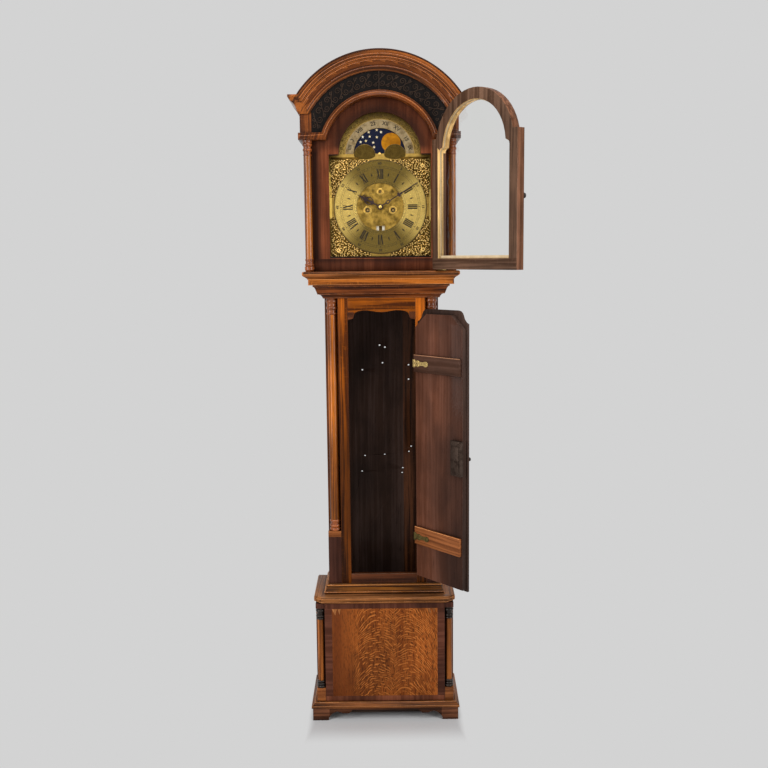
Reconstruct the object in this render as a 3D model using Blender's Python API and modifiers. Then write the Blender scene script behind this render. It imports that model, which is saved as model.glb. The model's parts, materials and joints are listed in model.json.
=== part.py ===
"""Break-arch longcase clock: oak case, lift-off hood, two doors, moon dial and eight-day movement.

Metres, +Z up, front towards -Y.  The origin is on the floor under the backboard, on the
centre line.  Both doors stand open as photographed; they are drawn shut and then swung.
"""
import math

import bmesh
import bpy
from mathutils import Matrix, Vector

FIT = 0.0003                # air left between pieces that touch

# Doors as photographed, degrees
HOOD_OPEN = 127.5
TRUNK_OPEN = 130.8

# Case, from the floor up
SKIRT_TALL = 0.043
BASE_TALL = 0.0175
PLINTH_TALL = 0.3456
CAP_TALL = 0.021
TRUNK_TALL = 1.0397
WAIST_TALL = 0.0337
THROAT_TALL = 0.0437
HOOD_BASE_TALL = 0.0430
SILL_TALL = 0.0404          # from the hood base to the dial
SPRING_RISE = 0.0423        # the entablature starts this far above the arch's centre
STRIP_TALL = 0.0217
CORNICE_RISE = 0.122
CORNICE_TALL = 0.055

# Half widths and how far the fronts stand from the wall
PLINTH_HALF = 0.232
PLINTH_FRONT = 0.240
TRUNK_HALF = 0.187
TRUNK_FRONT = 0.195
DOORWAY_HALF = 0.111
DIAL_HALF = 0.165
DIAL_ARCH = 0.133
HOOD_MARGIN = 0.078         # hood's half width beyond the dial's
HOOD_STEP = 0.040           # hood's front beyond the trunk's

# Boards
BACK_THICK = 0.012
PLINTH_SIDE_THICK = 0.018
TRUNK_SIDE_THICK = 0.016
HOOD_SIDE_THICK = 0.014
RAIL_THICK = 0.018
MASK_THICK = 0.014
DOOR_THICK = 0.028
SEAT_THICK = 0.0247
LIP_THICK = 0.007
SKIRT_THICK = 0.016

# How far the mouldings stand out
CAP_EDGE = 0.020
BASE_OUT = 0.050
WAIST_OUT = 0.0135
THROAT_OUT = 0.0337
HOOD_BASE_NOSE = 0.009
CORNICE_OUT = 0.034
CORNICE_WIDE = 0.061        # the arched run is a little wider than the level one is tall

# Columns and their recesses
PLINTH_COLUMN = 0.0112
PLINTH_RECESS = 0.032
PLINTH_FOOT_BLOCK = 0.0459
PLINTH_CAP_BLOCK = 0.0177
TRUNK_COLUMN = 0.0150
TRUNK_RECESS = 0.0375
TRUNK_BLOCK_TALL = 0.2137
HOOD_COLUMN = 0.0120

# Doorway rails
BOTTOM_RAIL_TALL = 0.0652
TOP_RAIL_TALL = 0.0905

# Movement
PLATE_HALF = 0.068
PLATE_THICK = 0.003
PLATE_GAP = 0.060
DIAL_THICK = 0.0025
RING_THICK = 0.002
HAND_THICK = 0.0015
MINUTE_LONG = 0.139
HOUR_LONG = 0.083
WINDING_OUT = 0.041         # winding squares either side of the centre
WINDING_DROP = 0.010
GEAR_APART = 0.034          # centre arbor to the third and minute arbors
ESCAPE_RISE = 0.049
VERGE_RISE = 0.0765
ADDENDUM = 0.0007
DEDENDUM = 0.0012
BELL = 0.045
BARREL = 0.0175

# Fittings
BATTEN_THICK = 0.010
LOCK_WIDE = 0.046
LOCK_TALL = 0.112
LOCK_THICK = 0.012
LEAF_HALF = 0.013
LEAF_LONG = 0.070
LEAF_THICK = 0.0012
KNUCKLE = 0.0033
GLASS_THICK = 0.002

# Levels and places that follow from the sizes above
BASE_Z = SKIRT_TALL + FIT
PLINTH_Z = BASE_Z + BASE_TALL + FIT
CAP_Z = PLINTH_Z + PLINTH_TALL + FIT
TRUNK_Z = CAP_Z + CAP_TALL + FIT
TRUNK_TOP = TRUNK_Z + TRUNK_TALL
THROAT_Z = TRUNK_TOP - THROAT_TALL - FIT
DOORWAY_LOW = TRUNK_Z + BOTTOM_RAIL_TALL
DOORWAY_TOP = TRUNK_TOP - TOP_RAIL_TALL
HOOD_Z = TRUNK_TOP + FIT
MASK_Z = HOOD_Z + HOOD_BASE_TALL + FIT
ARCH_Z = MASK_Z + SILL_TALL + 2 * DIAL_HALF     # centre of every arch on the hood and dial
DIAL_Z = ARCH_Z - DIAL_HALF - 0.0005            # hands' centre
SPRING_Z = ARCH_Z + SPRING_RISE
CORNICE_Z = ARCH_Z + CORNICE_RISE
BACK = BACK_THICK / 2
HOOD_HALF = DIAL_HALF + HOOD_MARGIN
HOOD_FRONT = TRUNK_FRONT + HOOD_STEP
MASK_FRONT = HOOD_FRONT - DOOR_THICK - 0.0005
DIAL_FRONT = MASK_FRONT - MASK_THICK - 0.0125
PLATE_FRONT = DIAL_FRONT - 0.028
PLATE_BACK = PLATE_FRONT - PLATE_GAP - 2 * PLATE_THICK
DOOR_HALF = DIAL_HALF + 0.022
DOOR_ARCH = DIAL_ARCH + 0.039
FRIEZE_ARCH = DOOR_ARCH + 0.0033
CORNICE_ARCH = HOOD_HALF + 0.008
SHOULDER_Z = ARCH_Z + 0.168
SEAT_Z = DIAL_Z - 0.1115
LIP_HALF = DOORWAY_HALF + 0.0025
HOOD_PIVOT = (DOOR_HALF - 0.001, -HOOD_FRONT + 0.002)
TRUNK_PIVOT = (LIP_HALF + KNUCKLE + 0.0009, -TRUNK_FRONT - KNUCKLE - FIT)

for thing in list(bpy.data.objects):
    bpy.data.objects.remove(thing, do_unlink=True)
PARTS = bpy.data.collections.new("longcase_clock")
CUTTERS = bpy.data.collections.new("cutters")
for group in (PARTS, CUTTERS):
    bpy.context.scene.collection.children.link(group)

FINISHES = {
    "oak": ((0.36, 0.17, 0.07), 0.0, 0.45),
    "oak_dark": ((0.16, 0.07, 0.035), 0.0, 0.55),
    "oak_figured": ((0.45, 0.22, 0.09), 0.0, 0.4),
    "ebonised": ((0.02, 0.017, 0.015), 0.0, 0.4),
    "softwood": ((0.12, 0.07, 0.04), 0.0, 0.7),
    "brass": ((0.72, 0.5, 0.2), 1.0, 0.35),
    "bell_metal": ((0.6, 0.5, 0.33), 1.0, 0.3),
    "blued_steel": ((0.03, 0.035, 0.05), 1.0, 0.35),
    "steel": ((0.4, 0.4, 0.4), 1.0, 0.4),
    "iron": ((0.06, 0.055, 0.05), 1.0, 0.6),
    "painted_blue": ((0.05, 0.12, 0.3), 0.0, 0.5),
    "glass": ((0.85, 0.9, 0.9), 0.0, 0.05),
}


def finish(obj, name):
    """Gives a piece its own material."""
    colour, metal, rough = FINISHES[name]
    mat = bpy.data.materials.new(obj.name)
    mat.use_nodes = True
    shader = mat.node_tree.nodes["Principled BSDF"]
    shader.inputs["Base Color"].default_value = (*colour, 1.0)
    shader.inputs["Metallic"].default_value = metal
    shader.inputs["Roughness"].default_value = rough
    if name == "glass":
        shader.inputs["Alpha"].default_value = 0.3
    mat.diffuse_color = (*colour, 1.0)
    obj.data.materials.clear()
    obj.data.materials.append(mat)


def place(mesh, name, look):
    """Adds a mesh as a named piece, or as a cutter when it has no look."""
    obj = bpy.data.objects.new(name, mesh)
    (PARTS if look else CUTTERS).objects.link(obj)
    if look:
        finish(obj, look)
    else:
        obj.hide_render = True
        obj.display_type = "WIRE"
    return obj


AXES = {
    "z": Matrix.Identity(4),
    "y": Matrix.Rotation(math.pi / 2, 4, "X"),
    "x": Matrix(((0, 0, 1, 0), (1, 0, 0, 0), (0, 1, 0, 0), (0, 0, 0, 1))),
}


def slab(name, look, loops, low, high, axis="y"):
    """Board cut to an outline; further loops are holes through it.

    Outlines are (x, z) for boards facing y, (x, y) for z and (y, z) for x.
    """
    curve = bpy.data.curves.new(name, "CURVE")
    curve.dimensions = "2D"
    curve.fill_mode = "BOTH"
    curve.extrude = (high - low) / 2
    for loop in loops:
        spline = curve.splines.new("POLY")
        spline.points.add(len(loop) - 1)
        for point, (u, v) in zip(spline.points, loop):
            point.co = (u, v, 0, 1)
        spline.use_cyclic_u = True
    drawn = bpy.data.objects.new(name, curve)
    CUTTERS.objects.link(drawn)
    bpy.context.view_layer.update()
    mesh = bpy.data.meshes.new_from_object(drawn)
    bpy.data.objects.remove(drawn, do_unlink=True)
    bm = bmesh.new()
    bm.from_mesh(mesh)
    bmesh.ops.remove_doubles(bm, verts=bm.verts, dist=1e-6)
    middle = (low + high) / 2
    shift = {"x": (middle, 0, 0), "y": (0, middle, 0), "z": (0, 0, middle)}[axis]
    bm.transform(Matrix.Translation(shift) @ AXES[axis])
    bmesh.ops.recalc_face_normals(bm, faces=bm.faces)
    bm.to_mesh(mesh)
    bm.free()
    return place(mesh, name, look)


def block(name, look, low, high):
    """Plain rectangular piece between two corners, given in any order."""
    bm = bmesh.new()
    bmesh.ops.create_cube(bm, size=1.0)
    size = [abs(b - a) for a, b in zip(low, high)]
    bm.transform(Matrix.Translation((Vector(high) + Vector(low)) / 2) @ Matrix.Diagonal((*size, 1)))
    mesh = bpy.data.meshes.new(name)
    bm.to_mesh(mesh)
    bm.free()
    return place(mesh, name, look)


def turned(name, look, profile, at, axis="z", steps=10, closed=False):
    """Lathe work: (radius, height) from the top down; along y, height runs towards the front."""
    mesh = bpy.data.meshes.new(name)
    count = len(profile)
    edges = [(i, i + 1) for i in range(count - 1)] + ([(count - 1, 0)] if closed else [])
    mesh.from_pydata([(r, 0, h) for r, h in profile], edges, [])
    obj = place(mesh, name, look)
    obj.matrix_world = Matrix.Translation(at) @ AXES[axis]
    screw = obj.modifiers.new("turn", "SCREW")
    screw.axis = "Z"
    screw.steps = steps
    screw.render_steps = steps
    screw.use_merge_vertices = True
    screw.merge_threshold = 0.00005
    screw.use_smooth_shade = True
    return obj


def rod(name, look, radius, low, high, at, axis="z", steps=12):
    """Round bar of one radius."""
    return turned(name, look, [(0, high), (radius, high), (radius, low), (0, low)], at, axis, steps)


def shaft(radius, top, low, capital, base):
    """Column profile; its capital and base are (share of the radius, distance from that end)."""
    upper = [(radius * k, top - d) for k, d in capital]
    lower = [(radius * k, low + d) for k, d in base]
    return [(0, top)] + upper + lower + [(0, low)]


def loft(name, look, stations):
    """Moulding swept through stations, each the same section set in place."""
    bm = bmesh.new()
    rings = [[bm.verts.new(p) for p in station] for station in stations]
    for a, b in zip(rings, rings[1:]):
        for i in range(len(a)):
            j = (i + 1) % len(a)
            bm.faces.new((a[i], a[j], b[j], b[i]))
    bm.faces.new(rings[0])
    bm.faces.new(rings[-1])
    bmesh.ops.recalc_face_normals(bm, faces=bm.faces)
    mesh = bpy.data.meshes.new(name)
    bm.to_mesh(mesh)
    bm.free()
    return place(mesh, name, look)


def section(out, tall, shares):
    """Moulding section from shares of its projection and its height."""
    return [(out * u, tall * v) for u, v in shares]


def mitred(path, profile, base):
    """Stations of a section carried round a plan path with mitred corners; it faces left of travel."""
    normals = []
    for (x0, y0), (x1, y1) in zip(path, path[1:]):
        run = math.hypot(x1 - x0, y1 - y0)
        normals.append(((y1 - y0) / run, -(x1 - x0) / run))
    stations = []
    for i, (x, y) in enumerate(path):
        a, b = normals[max(i - 1, 0)], normals[min(i, len(normals) - 1)]
        share = 1 + a[0] * b[0] + a[1] * b[1]
        ox, oy = (a[0] + b[0]) / share, (a[1] + b[1]) / share
        stations.append([(x - ox * u, y - oy * u, base + v) for u, v in profile])
    return stations


def round_case(half, front, back):
    """Path round the case from the back right, across the front, to the back left."""
    return [(half, back), (half, -front), (-half, -front), (-half, back)]


def combine(obj, others, how):
    """Glues on or cuts away the other solids."""
    for other in others:
        tool = obj.modifiers.new(other.name, "BOOLEAN")
        tool.operation = how
        tool.solver = "EXACT"
        tool.object = other
    return obj


def fuse(obj, *others):
    return combine(obj, others, "UNION")


def cut(obj, *others):
    return combine(obj, others, "DIFFERENCE")


def arc(cx, cz, radius, start, end, count):
    """Points on an arc, angles in degrees from +x towards +z."""
    turns = [math.radians(start + (end - start) * k / count) for k in range(count + 1)]
    return [(cx + radius * math.cos(t), cz + radius * math.sin(t)) for t in turns]


def ring(at, radius, count=16):
    return arc(*at, radius, 0, 360, count)[:-1]


def box2(u0, u1, v0, v1):
    return [(u0, v0), (u1, v0), (u1, v1), (u0, v1)]


def mirror(points):
    """Adds the left half of an outline given as its right half from bottom to top."""
    return points + [(-x, z) for x, z in reversed(points) if abs(x) > 1e-9]


def springing(radius, z):
    """Half width of an arch at a height, and the angle there."""
    rise = z - ARCH_Z
    return math.sqrt(radius * radius - rise * rise), math.degrees(math.asin(rise / radius))


def arch_outline(radius, z, count):
    start = springing(radius, z)[1]
    return arc(0, ARCH_Z, radius, start, 180 - start, count)


def teeth_round(at, count, root, tip, phase=0.0):
    """Wheel outline with pointed teeth; phase is the first tooth's angle in degrees.

    Pinions of few leaves get slim leaves with flat roots.
    """
    flanks = ((-0.24, root), (0.0, tip), (0.24, root)) if count < 20 else ((-0.5, root), (0.0, tip))
    points = []
    pitch = 2 * math.pi / count
    for k in range(count):
        for share, radius in flanks:
            turn = math.radians(phase) + (k + share) * pitch
            points.append((at[0] + radius * math.cos(turn), at[1] + radius * math.sin(turn)))
    return points


def sides(name, maker):
    """Makes the right and left of a handed pair; maker gets the sign of x."""
    return [maker(f"{name}_right", 1), maker(f"{name}_left", -1)]


# Backboard: one long board with ears for the plinth and hood, drilled through in use
DRILLED = [(-0.008, 0.8237), (0.0105, 0.8162), (0.0015, 0.7617), (-0.069, 0.7377), (0.092, 0.7537),
           (0.092, 0.7032), (-0.0635, 0.4327), (0.006, 0.4367), (0.0995, 0.4647), (0.0915, 0.4461),
           (0.0695, 0.3873), (0.067, 0.3702), (-0.0745, 0.3767)]
plinth_in = PLINTH_HALF - PLINTH_SIDE_THICK
trunk_in = TRUNK_HALF - TRUNK_SIDE_THICK
hood_in = HOOD_HALF - HOOD_SIDE_THICK
half = [(plinth_in - 0.0005, 0.0), (plinth_in - 0.0005, CAP_Z - 0.0005), (trunk_in - FIT, CAP_Z - 0.0005),
        (trunk_in - FIT, MASK_Z + 0.0002), (hood_in - 0.0045, MASK_Z + 0.0002), (hood_in - 0.0045, ARCH_Z + 0.153),
        (hood_in - 0.052, ARCH_Z + 0.213), (hood_in - 0.132, ARCH_Z + 0.258)]
slab("backboard", "softwood", [mirror(half)] + [ring((x, TRUNK_Z + z), 0.0024, 6) for x, z in DRILLED], -BACK, BACK)

# Plinth
recess_x = PLINTH_HALF - PLINTH_RECESS + 0.0015
recess_y = -PLINTH_FRONT + PLINTH_RECESS
half = [(recess_x - 0.014, recess_y - 0.014), (recess_x - 0.014, recess_y + 0.014), (plinth_in - FIT, recess_y + 0.014),
        (plinth_in - FIT, recess_y), (recess_x, recess_y), (recess_x, -PLINTH_FRONT)]
slab("plinth_front", "oak_figured", [mirror(half)], PLINTH_Z, PLINTH_Z + PLINTH_TALL, "z")
sides("plinth_side", lambda name, s: block(
    name, "oak", (s * plinth_in, recess_y, PLINTH_Z), (s * PLINTH_HALF, BACK, PLINTH_Z + PLINTH_TALL)))


def plinth_column(name, s):
    """Corner column with its square cap block and foot block."""
    low, top = PLINTH_Z + FIT, PLINTH_Z + PLINTH_TALL - FIT
    capital = [(1.23, 0.0), (1.23, 0.006), (1.03, 0.011), (1.14, 0.016), (1.05, 0.026), (0.94, 0.035), (1.09, 0.040),
               (1.0, 0.045)]
    base = [(1.0, 0.032), (1.12, 0.027), (1.0, 0.021), (1.23, 0.012), (1.23, 0.0)]
    lathe = shaft(PLINTH_COLUMN, top - PLINTH_CAP_BLOCK + 0.003, low + PLINTH_FOOT_BLOCK - 0.003, capital, base)
    at = (s * (PLINTH_HALF - PLINTH_RECESS / 2 + 0.0002), -PLINTH_FRONT + PLINTH_RECESS / 2 - 0.0005, 0)
    column = turned(name, "ebonised", lathe, at)
    near, far = (s * (recess_x + 0.0004), -PLINTH_FRONT + 0.0006), (s * (PLINTH_HALF - 0.0007), recess_y - 0.0004)
    foot = block(name + "_foot", None, (*near, low), (*far, low + PLINTH_FOOT_BLOCK))
    cap = block(name + "_cap", None, (*near, top - PLINTH_CAP_BLOCK), (*far, top))
    return fuse(column, foot, cap)


sides("plinth_column", plinth_column)
edge = section(CAP_EDGE, CAP_TALL, [(-1, 0), (-0.4, 0), (-0.31, 0.143), (-0.075, 0.286), (0, 0.42), (0, 0.786),
                                    (-0.175, 1), (-1, 1)])
nose, fore, cant = PLINTH_HALF + 0.005, PLINTH_FRONT + 0.010, 0.026
path = [(nose, -BACK - FIT), (nose, cant - fore), (nose - cant, -fore), (cant - nose, -fore), (-nose, cant - fore),
        (-nose, -BACK - FIT)]
moulded = loft("plinth_top", "oak", mitred(path, edge, CAP_Z))
half = [(TRUNK_HALF - 0.022, -TRUNK_FRONT + 0.022), (TRUNK_HALF - 0.022, -BACK - 0.0008), (nose - 0.011, -BACK - 0.0008),
        (nose - 0.011, cant - fore + 0.005), (nose - cant - 0.005, 0.011 - fore)]
fuse(moulded, slab("plinth_top_frame", None, [mirror(half)], CAP_Z + 0.0001, CAP_Z + CAP_TALL - 0.0002, "z"))
profile = section(BASE_OUT, BASE_TALL, [(0, 0), (1, 0), (1, 0.343), (0.95, 0.514), (0.89, 0.629), (0.82, 0.829),
                                        (0.77, 1), (0, 1)])
loft("base_moulding", "oak",
     mitred(round_case(PLINTH_HALF + 0.018 - BASE_OUT, PLINTH_FRONT + 0.0175 - BASE_OUT, -BACK - FIT), profile, BASE_Z))

skirt_half, skirt_front = PLINTH_HALF + 0.014, PLINTH_FRONT + 0.0135
half = [(skirt_half - SKIRT_THICK, SKIRT_THICK - skirt_front), (skirt_half - SKIRT_THICK, BACK), (skirt_half, BACK),
        (skirt_half, -skirt_front)]
skirt = slab("base_skirt", "oak", [mirror(half)], 0.0, SKIRT_TALL, "z")
scroll = [(0.053, -0.23), (0.053, 0.186), (0.059, 0.384), (0.069, 0.581), (0.082, 0.721), (0.094, 0.64), (0.101, 0.547),
          (0.121, 0.547), (0.1295, 0.698), (0.134, 0.837)]
apron = [(skirt_half - inset, SKIRT_TALL * share) for inset, share in scroll]
between = [(0.041, -0.23), (0.041, 0.186), (0.049, 0.465), (0.063, 0.721)]
gap = [(-y, SKIRT_TALL * share) for y, share in between]
gap += [(-skirt_front + y + 0.0125, SKIRT_TALL * share) for y, share in reversed(between)]
cut(skirt, slab("apron_cut", None, [mirror(apron)], -skirt_front - 0.02, -skirt_front + SKIRT_THICK + 0.02),
    slab("side_cut", None, [gap], -skirt_half - 0.05, skirt_half + 0.05, "x"))

# Trunk
around = round_case(TRUNK_HALF + FIT, TRUNK_FRONT + FIT, BACK)
profile = section(WAIST_OUT, WAIST_TALL, [(0, 0), (1, 0), (1, 0.237), (0.83, 0.356), (0.578, 0.564), (0.37, 0.801),
                                          (0.222, 1), (0, 1)])
loft("waist_moulding", "oak", mitred(around, profile, TRUNK_Z))
trunk_recess_y = -TRUNK_FRONT + TRUNK_RECESS - 0.002
ear = MASK_Z - 0.0001
outline = [(trunk_recess_y + FIT, TRUNK_Z), (BACK, TRUNK_Z), (BACK, ear), (-BACK - FIT, ear), (-BACK - FIT, SEAT_Z - FIT),
           (-DIAL_FRONT + 0.050, SEAT_Z - FIT), (-DIAL_FRONT + 0.050, ear), (trunk_recess_y + FIT, ear)]
sides("trunk_side", lambda name, s: slab(name, "oak", [outline], *sorted((s * trunk_in, s * TRUNK_HALF)), "x"))


def trunk_stile(name, s):
    """Front stile whose edge turns back to make the column's recess."""
    wall = TRUNK_HALF - TRUNK_RECESS
    plan = [(DOORWAY_HALF, -TRUNK_FRONT), (wall, -TRUNK_FRONT), (wall, trunk_recess_y), (trunk_in - FIT, trunk_recess_y),
            (trunk_in - FIT, trunk_recess_y + 0.0125), (wall - 0.011, trunk_recess_y + 0.0125),
            (wall - 0.011, -TRUNK_FRONT + RAIL_THICK), (DOORWAY_HALF, -TRUNK_FRONT + RAIL_THICK)]
    return slab(name, "oak", [[(s * x, y) for x, y in plan]], TRUNK_Z, TRUNK_TOP, "z")


sides("trunk_stile", trunk_stile)
shaped = [(0.0, 0.0), (0.126, 0.001), (0.27, 0.004), (0.432, 0.0065), (0.577, 0.006), (0.689, 0.0035), (0.761, 0.0),
          (0.806, -0.0055), (0.818, -0.0135), (0.833, -0.0185), (0.869, -0.0213)]
half = [(DOORWAY_HALF * share, DOORWAY_TOP + rise) for share, rise in shaped]
half += [(DOORWAY_HALF - FIT, DOORWAY_TOP - 0.0245), (DOORWAY_HALF - FIT, TRUNK_TOP)]
slab("trunk_top_rail", "oak", [mirror(half)], -TRUNK_FRONT, -TRUNK_FRONT + RAIL_THICK)
slab("trunk_bottom_rail", "oak", [box2(FIT - DOORWAY_HALF, DOORWAY_HALF - FIT, TRUNK_Z, DOORWAY_LOW)],
     -TRUNK_FRONT, -TRUNK_FRONT + RAIL_THICK)


def trunk_column(name, s):
    """Engaged round column standing on its square block."""
    capital = [(1.147, 0.0), (1.147, 0.0087), (1.0, 0.0147), (1.08, 0.0217), (0.973, 0.0327), (0.973, 0.0427),
               (1.12, 0.0457), (1.12, 0.0507), (1.0, 0.0537)]
    base = [(1.0, 0.048), (1.12, 0.044), (1.12, 0.038), (1.013, 0.033), (1.147, 0.024), (1.147, 0.0)]
    low = TRUNK_Z + 0.0004
    lathe = shaft(TRUNK_COLUMN, THROAT_Z - FIT, low + TRUNK_BLOCK_TALL - 0.004, capital, base)
    column = turned(name, "oak", lathe, (s * (TRUNK_HALF - 0.0198), -TRUNK_FRONT + 0.0178, 0))
    near = (s * (TRUNK_HALF - TRUNK_RECESS + 0.0004), -TRUNK_FRONT + FIT, low)
    far = (s * (TRUNK_HALF - 0.0005), trunk_recess_y - 0.0002, low + TRUNK_BLOCK_TALL)
    return fuse(column, block(name + "_block", None, near, far))


sides("trunk_column", trunk_column)
profile = section(THROAT_OUT, THROAT_TALL, [(0, 0), (0.06, 0), (0.16, 0.15), (0.30, 0.27), (0.53, 0.33), (0.61, 0.40),
                                            (0.67, 0.54), (0.78, 0.75), (0.93, 0.91), (1, 0.93), (1, 1), (0, 1)])
loft("throat_moulding", "oak", mitred(around, profile, THROAT_Z))
seat_front = -DIAL_FRONT + 0.020
slots = [box2(s * WINDING_OUT - 0.02, s * WINDING_OUT + 0.02, seat_front + 0.022, seat_front + 0.048) for s in (1, -1)]
slots.append(box2(-0.015, 0.015, seat_front + 0.070, seat_front + 0.100))
slab("seatboard", "softwood", [box2(-TRUNK_HALF, TRUNK_HALF, seat_front, seat_front + 0.130)] + slots,
     SEAT_Z, SEAT_Z + SEAT_THICK, "z")

# Movement: plates, train and motion work; front view positions of the arbors
lean = (ESCAPE_RISE ** 2 + GEAR_APART ** 2 - (0.88235 * GEAR_APART) ** 2) / (2 * ESCAPE_RISE)
CENTRE = (0.0, DIAL_Z)
THIRD = (math.sqrt(GEAR_APART ** 2 - lean ** 2), DIAL_Z + lean)
ESCAPE = (0.0, DIAL_Z + ESCAPE_RISE)
VERGE = (0.0, DIAL_Z + VERGE_RISE)
GOING = (WINDING_OUT, DIAL_Z - WINDING_DROP)
STRIKE = (-WINDING_OUT, DIAL_Z - WINDING_DROP)
MINUTE = (0.0, DIAL_Z - GEAR_APART)
HAMMER = (-0.047, DIAL_Z + 0.0685)
plate_top = VERGE[1] + 0.019
plate = box2(-PLATE_HALF, PLATE_HALF, SEAT_Z + SEAT_THICK + FIT, plate_top)
near = [ring(CENTRE, 0.0023, 10), ring(THIRD, 0.0015, 8), ring(ESCAPE, 0.0015, 8), ring(VERGE, 0.0015, 8),
        ring(GOING, 0.0043, 10), ring(STRIKE, 0.0043, 10), ring(MINUTE, 0.0018, 8), ring(HAMMER, 0.0015, 8)]
far = [ring(CENTRE, 0.0015, 8), ring(THIRD, 0.0015, 8), ring(ESCAPE, 0.0015, 8), ring(VERGE, 0.0018, 8),
       ring(GOING, 0.0028, 8), ring(STRIKE, 0.0028, 8), ring(HAMMER, 0.0015, 8)]
slab("front_plate", "brass", [plate] + near, -PLATE_FRONT, PLATE_THICK - PLATE_FRONT)
back_plate = slab("back_plate", "brass", [plate] + far, -PLATE_BACK - PLATE_THICK, -PLATE_BACK)
corners = [(s * (PLATE_HALF - 0.0065), z) for s in (1, -1) for z in (SEAT_Z + SEAT_THICK + 0.013, plate_top - 0.012)]
posts = [rod(f"pillar_{i}", None, 0.0045, PLATE_BACK + 0.0015, PLATE_FRONT - PLATE_THICK - FIT, (x, 0, z), "y", 8)
         for i, (x, z) in enumerate(corners)]
bell_y, bell_z = -PLATE_BACK - 0.0015, plate_top + 0.033
fuse(back_plate, rod("bell_stand", None, 0.0025, plate_top - 0.012, bell_z + 0.0385, (0, bell_y, 0), steps=8), *posts)
rim = [(0.38, 0.744), (0.667, 0.611), (0.867, 0.4), (0.967, 0.178), (1.0, 0.0), (0.944, 0.0), (0.911, 0.167),
       (0.811, 0.367), (0.622, 0.567), (0.356, 0.693)]
dome = [(0.0029, 0.782 * BELL)] + section(BELL, BELL, rim) + [(0.0029, 0.729 * BELL)]
turned("bell", "bell_metal", dome, (0, bell_y, bell_z), steps=16, closed=True)


def arbor(name, look, profile, at, steps=8):
    """Arbor along y; heights are distances forward of the origin."""
    return turned(name, look, profile, (at[0], 0, at[1]), "y", steps)


def pivoted(radius, front, pivot=0.0012):
    """Plain arbor between the plates with a pivot in each."""
    fore, aft = PLATE_FRONT - PLATE_THICK - 0.0005, PLATE_BACK + PLATE_THICK + 0.0005
    return [(0, front), (pivot, front), (pivot, fore), (radius, fore), (radius, aft), (pivot, aft),
            (pivot, PLATE_BACK + 0.0005), (0, PLATE_BACK + 0.0005)]


def bearing(at, other):
    return math.degrees(math.atan2(other[1] - at[1], other[0] - at[0]))


def geared(at, other, count, mate):
    """Outline of a wheel or pinion that meshes with one of mate teeth on another arbor.

    A wheel points a gap at the other arbor and a pinion a leaf.
    """
    pitch = math.dist(at, other) * count / (count + mate)
    leads = count < mate or (count == mate and at == MINUTE)
    phase = bearing(at, other) + (0 if leads else 180 / count)
    return teeth_round(at, count, pitch - DEDENDUM, pitch + ADDENDUM, phase)


def wheel(name, loops, back, front):
    return slab(name, None, loops, -front, -back)


B, F = PLATE_BACK, PLATE_FRONT
front_arbor = DIAL_FRONT + 0.0145
centre = arbor("centre_wheel", "brass", [(0, front_arbor), (0.002, front_arbor), (0.002, B + 0.0035), (0.0012, B + 0.0035),
                                         (0.0012, B - 0.0005), (0, B - 0.0005)], CENTRE)
fuse(centre, wheel("centre_teeth", [geared(CENTRE, THIRD, 60, 8)], B + 0.0155, B + 0.0175),
     wheel("centre_leaves", [geared(CENTRE, GOING, 8, 96)], B + 0.0045, B + 0.011),
     wheel("cannon_teeth", [geared(CENTRE, MINUTE, 36, 36)], F + 0.006, F + 0.008))
third = arbor("third_wheel", "brass", pivoted(0.002, F - 0.0005), THIRD)
fuse(third, wheel("third_teeth", [geared(THIRD, ESCAPE, 56, 7)], B + 0.0195, B + 0.021),
     wheel("third_leaves", [geared(THIRD, CENTRE, 8, 60)], B + 0.0148, B + 0.0185))
escape = arbor("escape_wheel", "brass", pivoted(0.002, DIAL_FRONT + 0.0012), ESCAPE)
fuse(escape, wheel("escape_teeth", [teeth_round(ESCAPE, 30, 0.0162, 0.019)], F - 0.015, F - 0.013),
     wheel("escape_leaves", [geared(ESCAPE, THIRD, 7, 56)], B + 0.0175, B + 0.023))
verge = arbor("anchor", "steel", pivoted(0.002, F - 0.0005)[:-3] + [(0.0014, B + 0.0035), (0.0014, B - 0.0065),
                                                                    (0, B - 0.0065)], VERGE)
arm = [(0.0, 0.0035), (0.006, 0.003), (0.0155, -0.0035), (0.0185, -0.0125), (0.0160, -0.0135), (0.0128, -0.0065),
       (0.005, -0.0035), (0.0, -0.003)]
arm += [(-x, z) for x, z in reversed(arm[1:-1])]
fuse(verge, wheel("anchor_arms", [[(x, VERGE[1] + z) for x, z in arm]], F - 0.0155, F - 0.0125),
     wheel("crutch", [box2(-0.002, 0.002, DIAL_Z - 0.0485, VERGE[1] + 0.004)], B - 0.0055, B - 0.003))
minute_wheel = arbor("minute_wheel", "brass", [(0, F + 0.020), (0.0015, F + 0.020), (0.0015, F - 0.0032), (0, F - 0.0032)],
                     MINUTE)
fuse(minute_wheel, wheel("minute_teeth", [geared(MINUTE, CENTRE, 36, 36)], F + 0.006, F + 0.008),
     wheel("minute_leaves", [geared(MINUTE, CENTRE, 6, 72)], F + 0.0155, F + 0.0185))
pipe_front = DIAL_FRONT + 0.0089
pipe = turned("hour_wheel", "brass", [(0.004, pipe_front), (0.004, F + 0.0135), (0.0024, F + 0.0135), (0.0024, pipe_front)],
              (0, 0, DIAL_Z), "y", 12, True)
fuse(pipe, wheel("hour_teeth", [geared(CENTRE, MINUTE, 72, 6), ring(CENTRE, 0.003, 12)], F + 0.016, F + 0.018))

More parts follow.
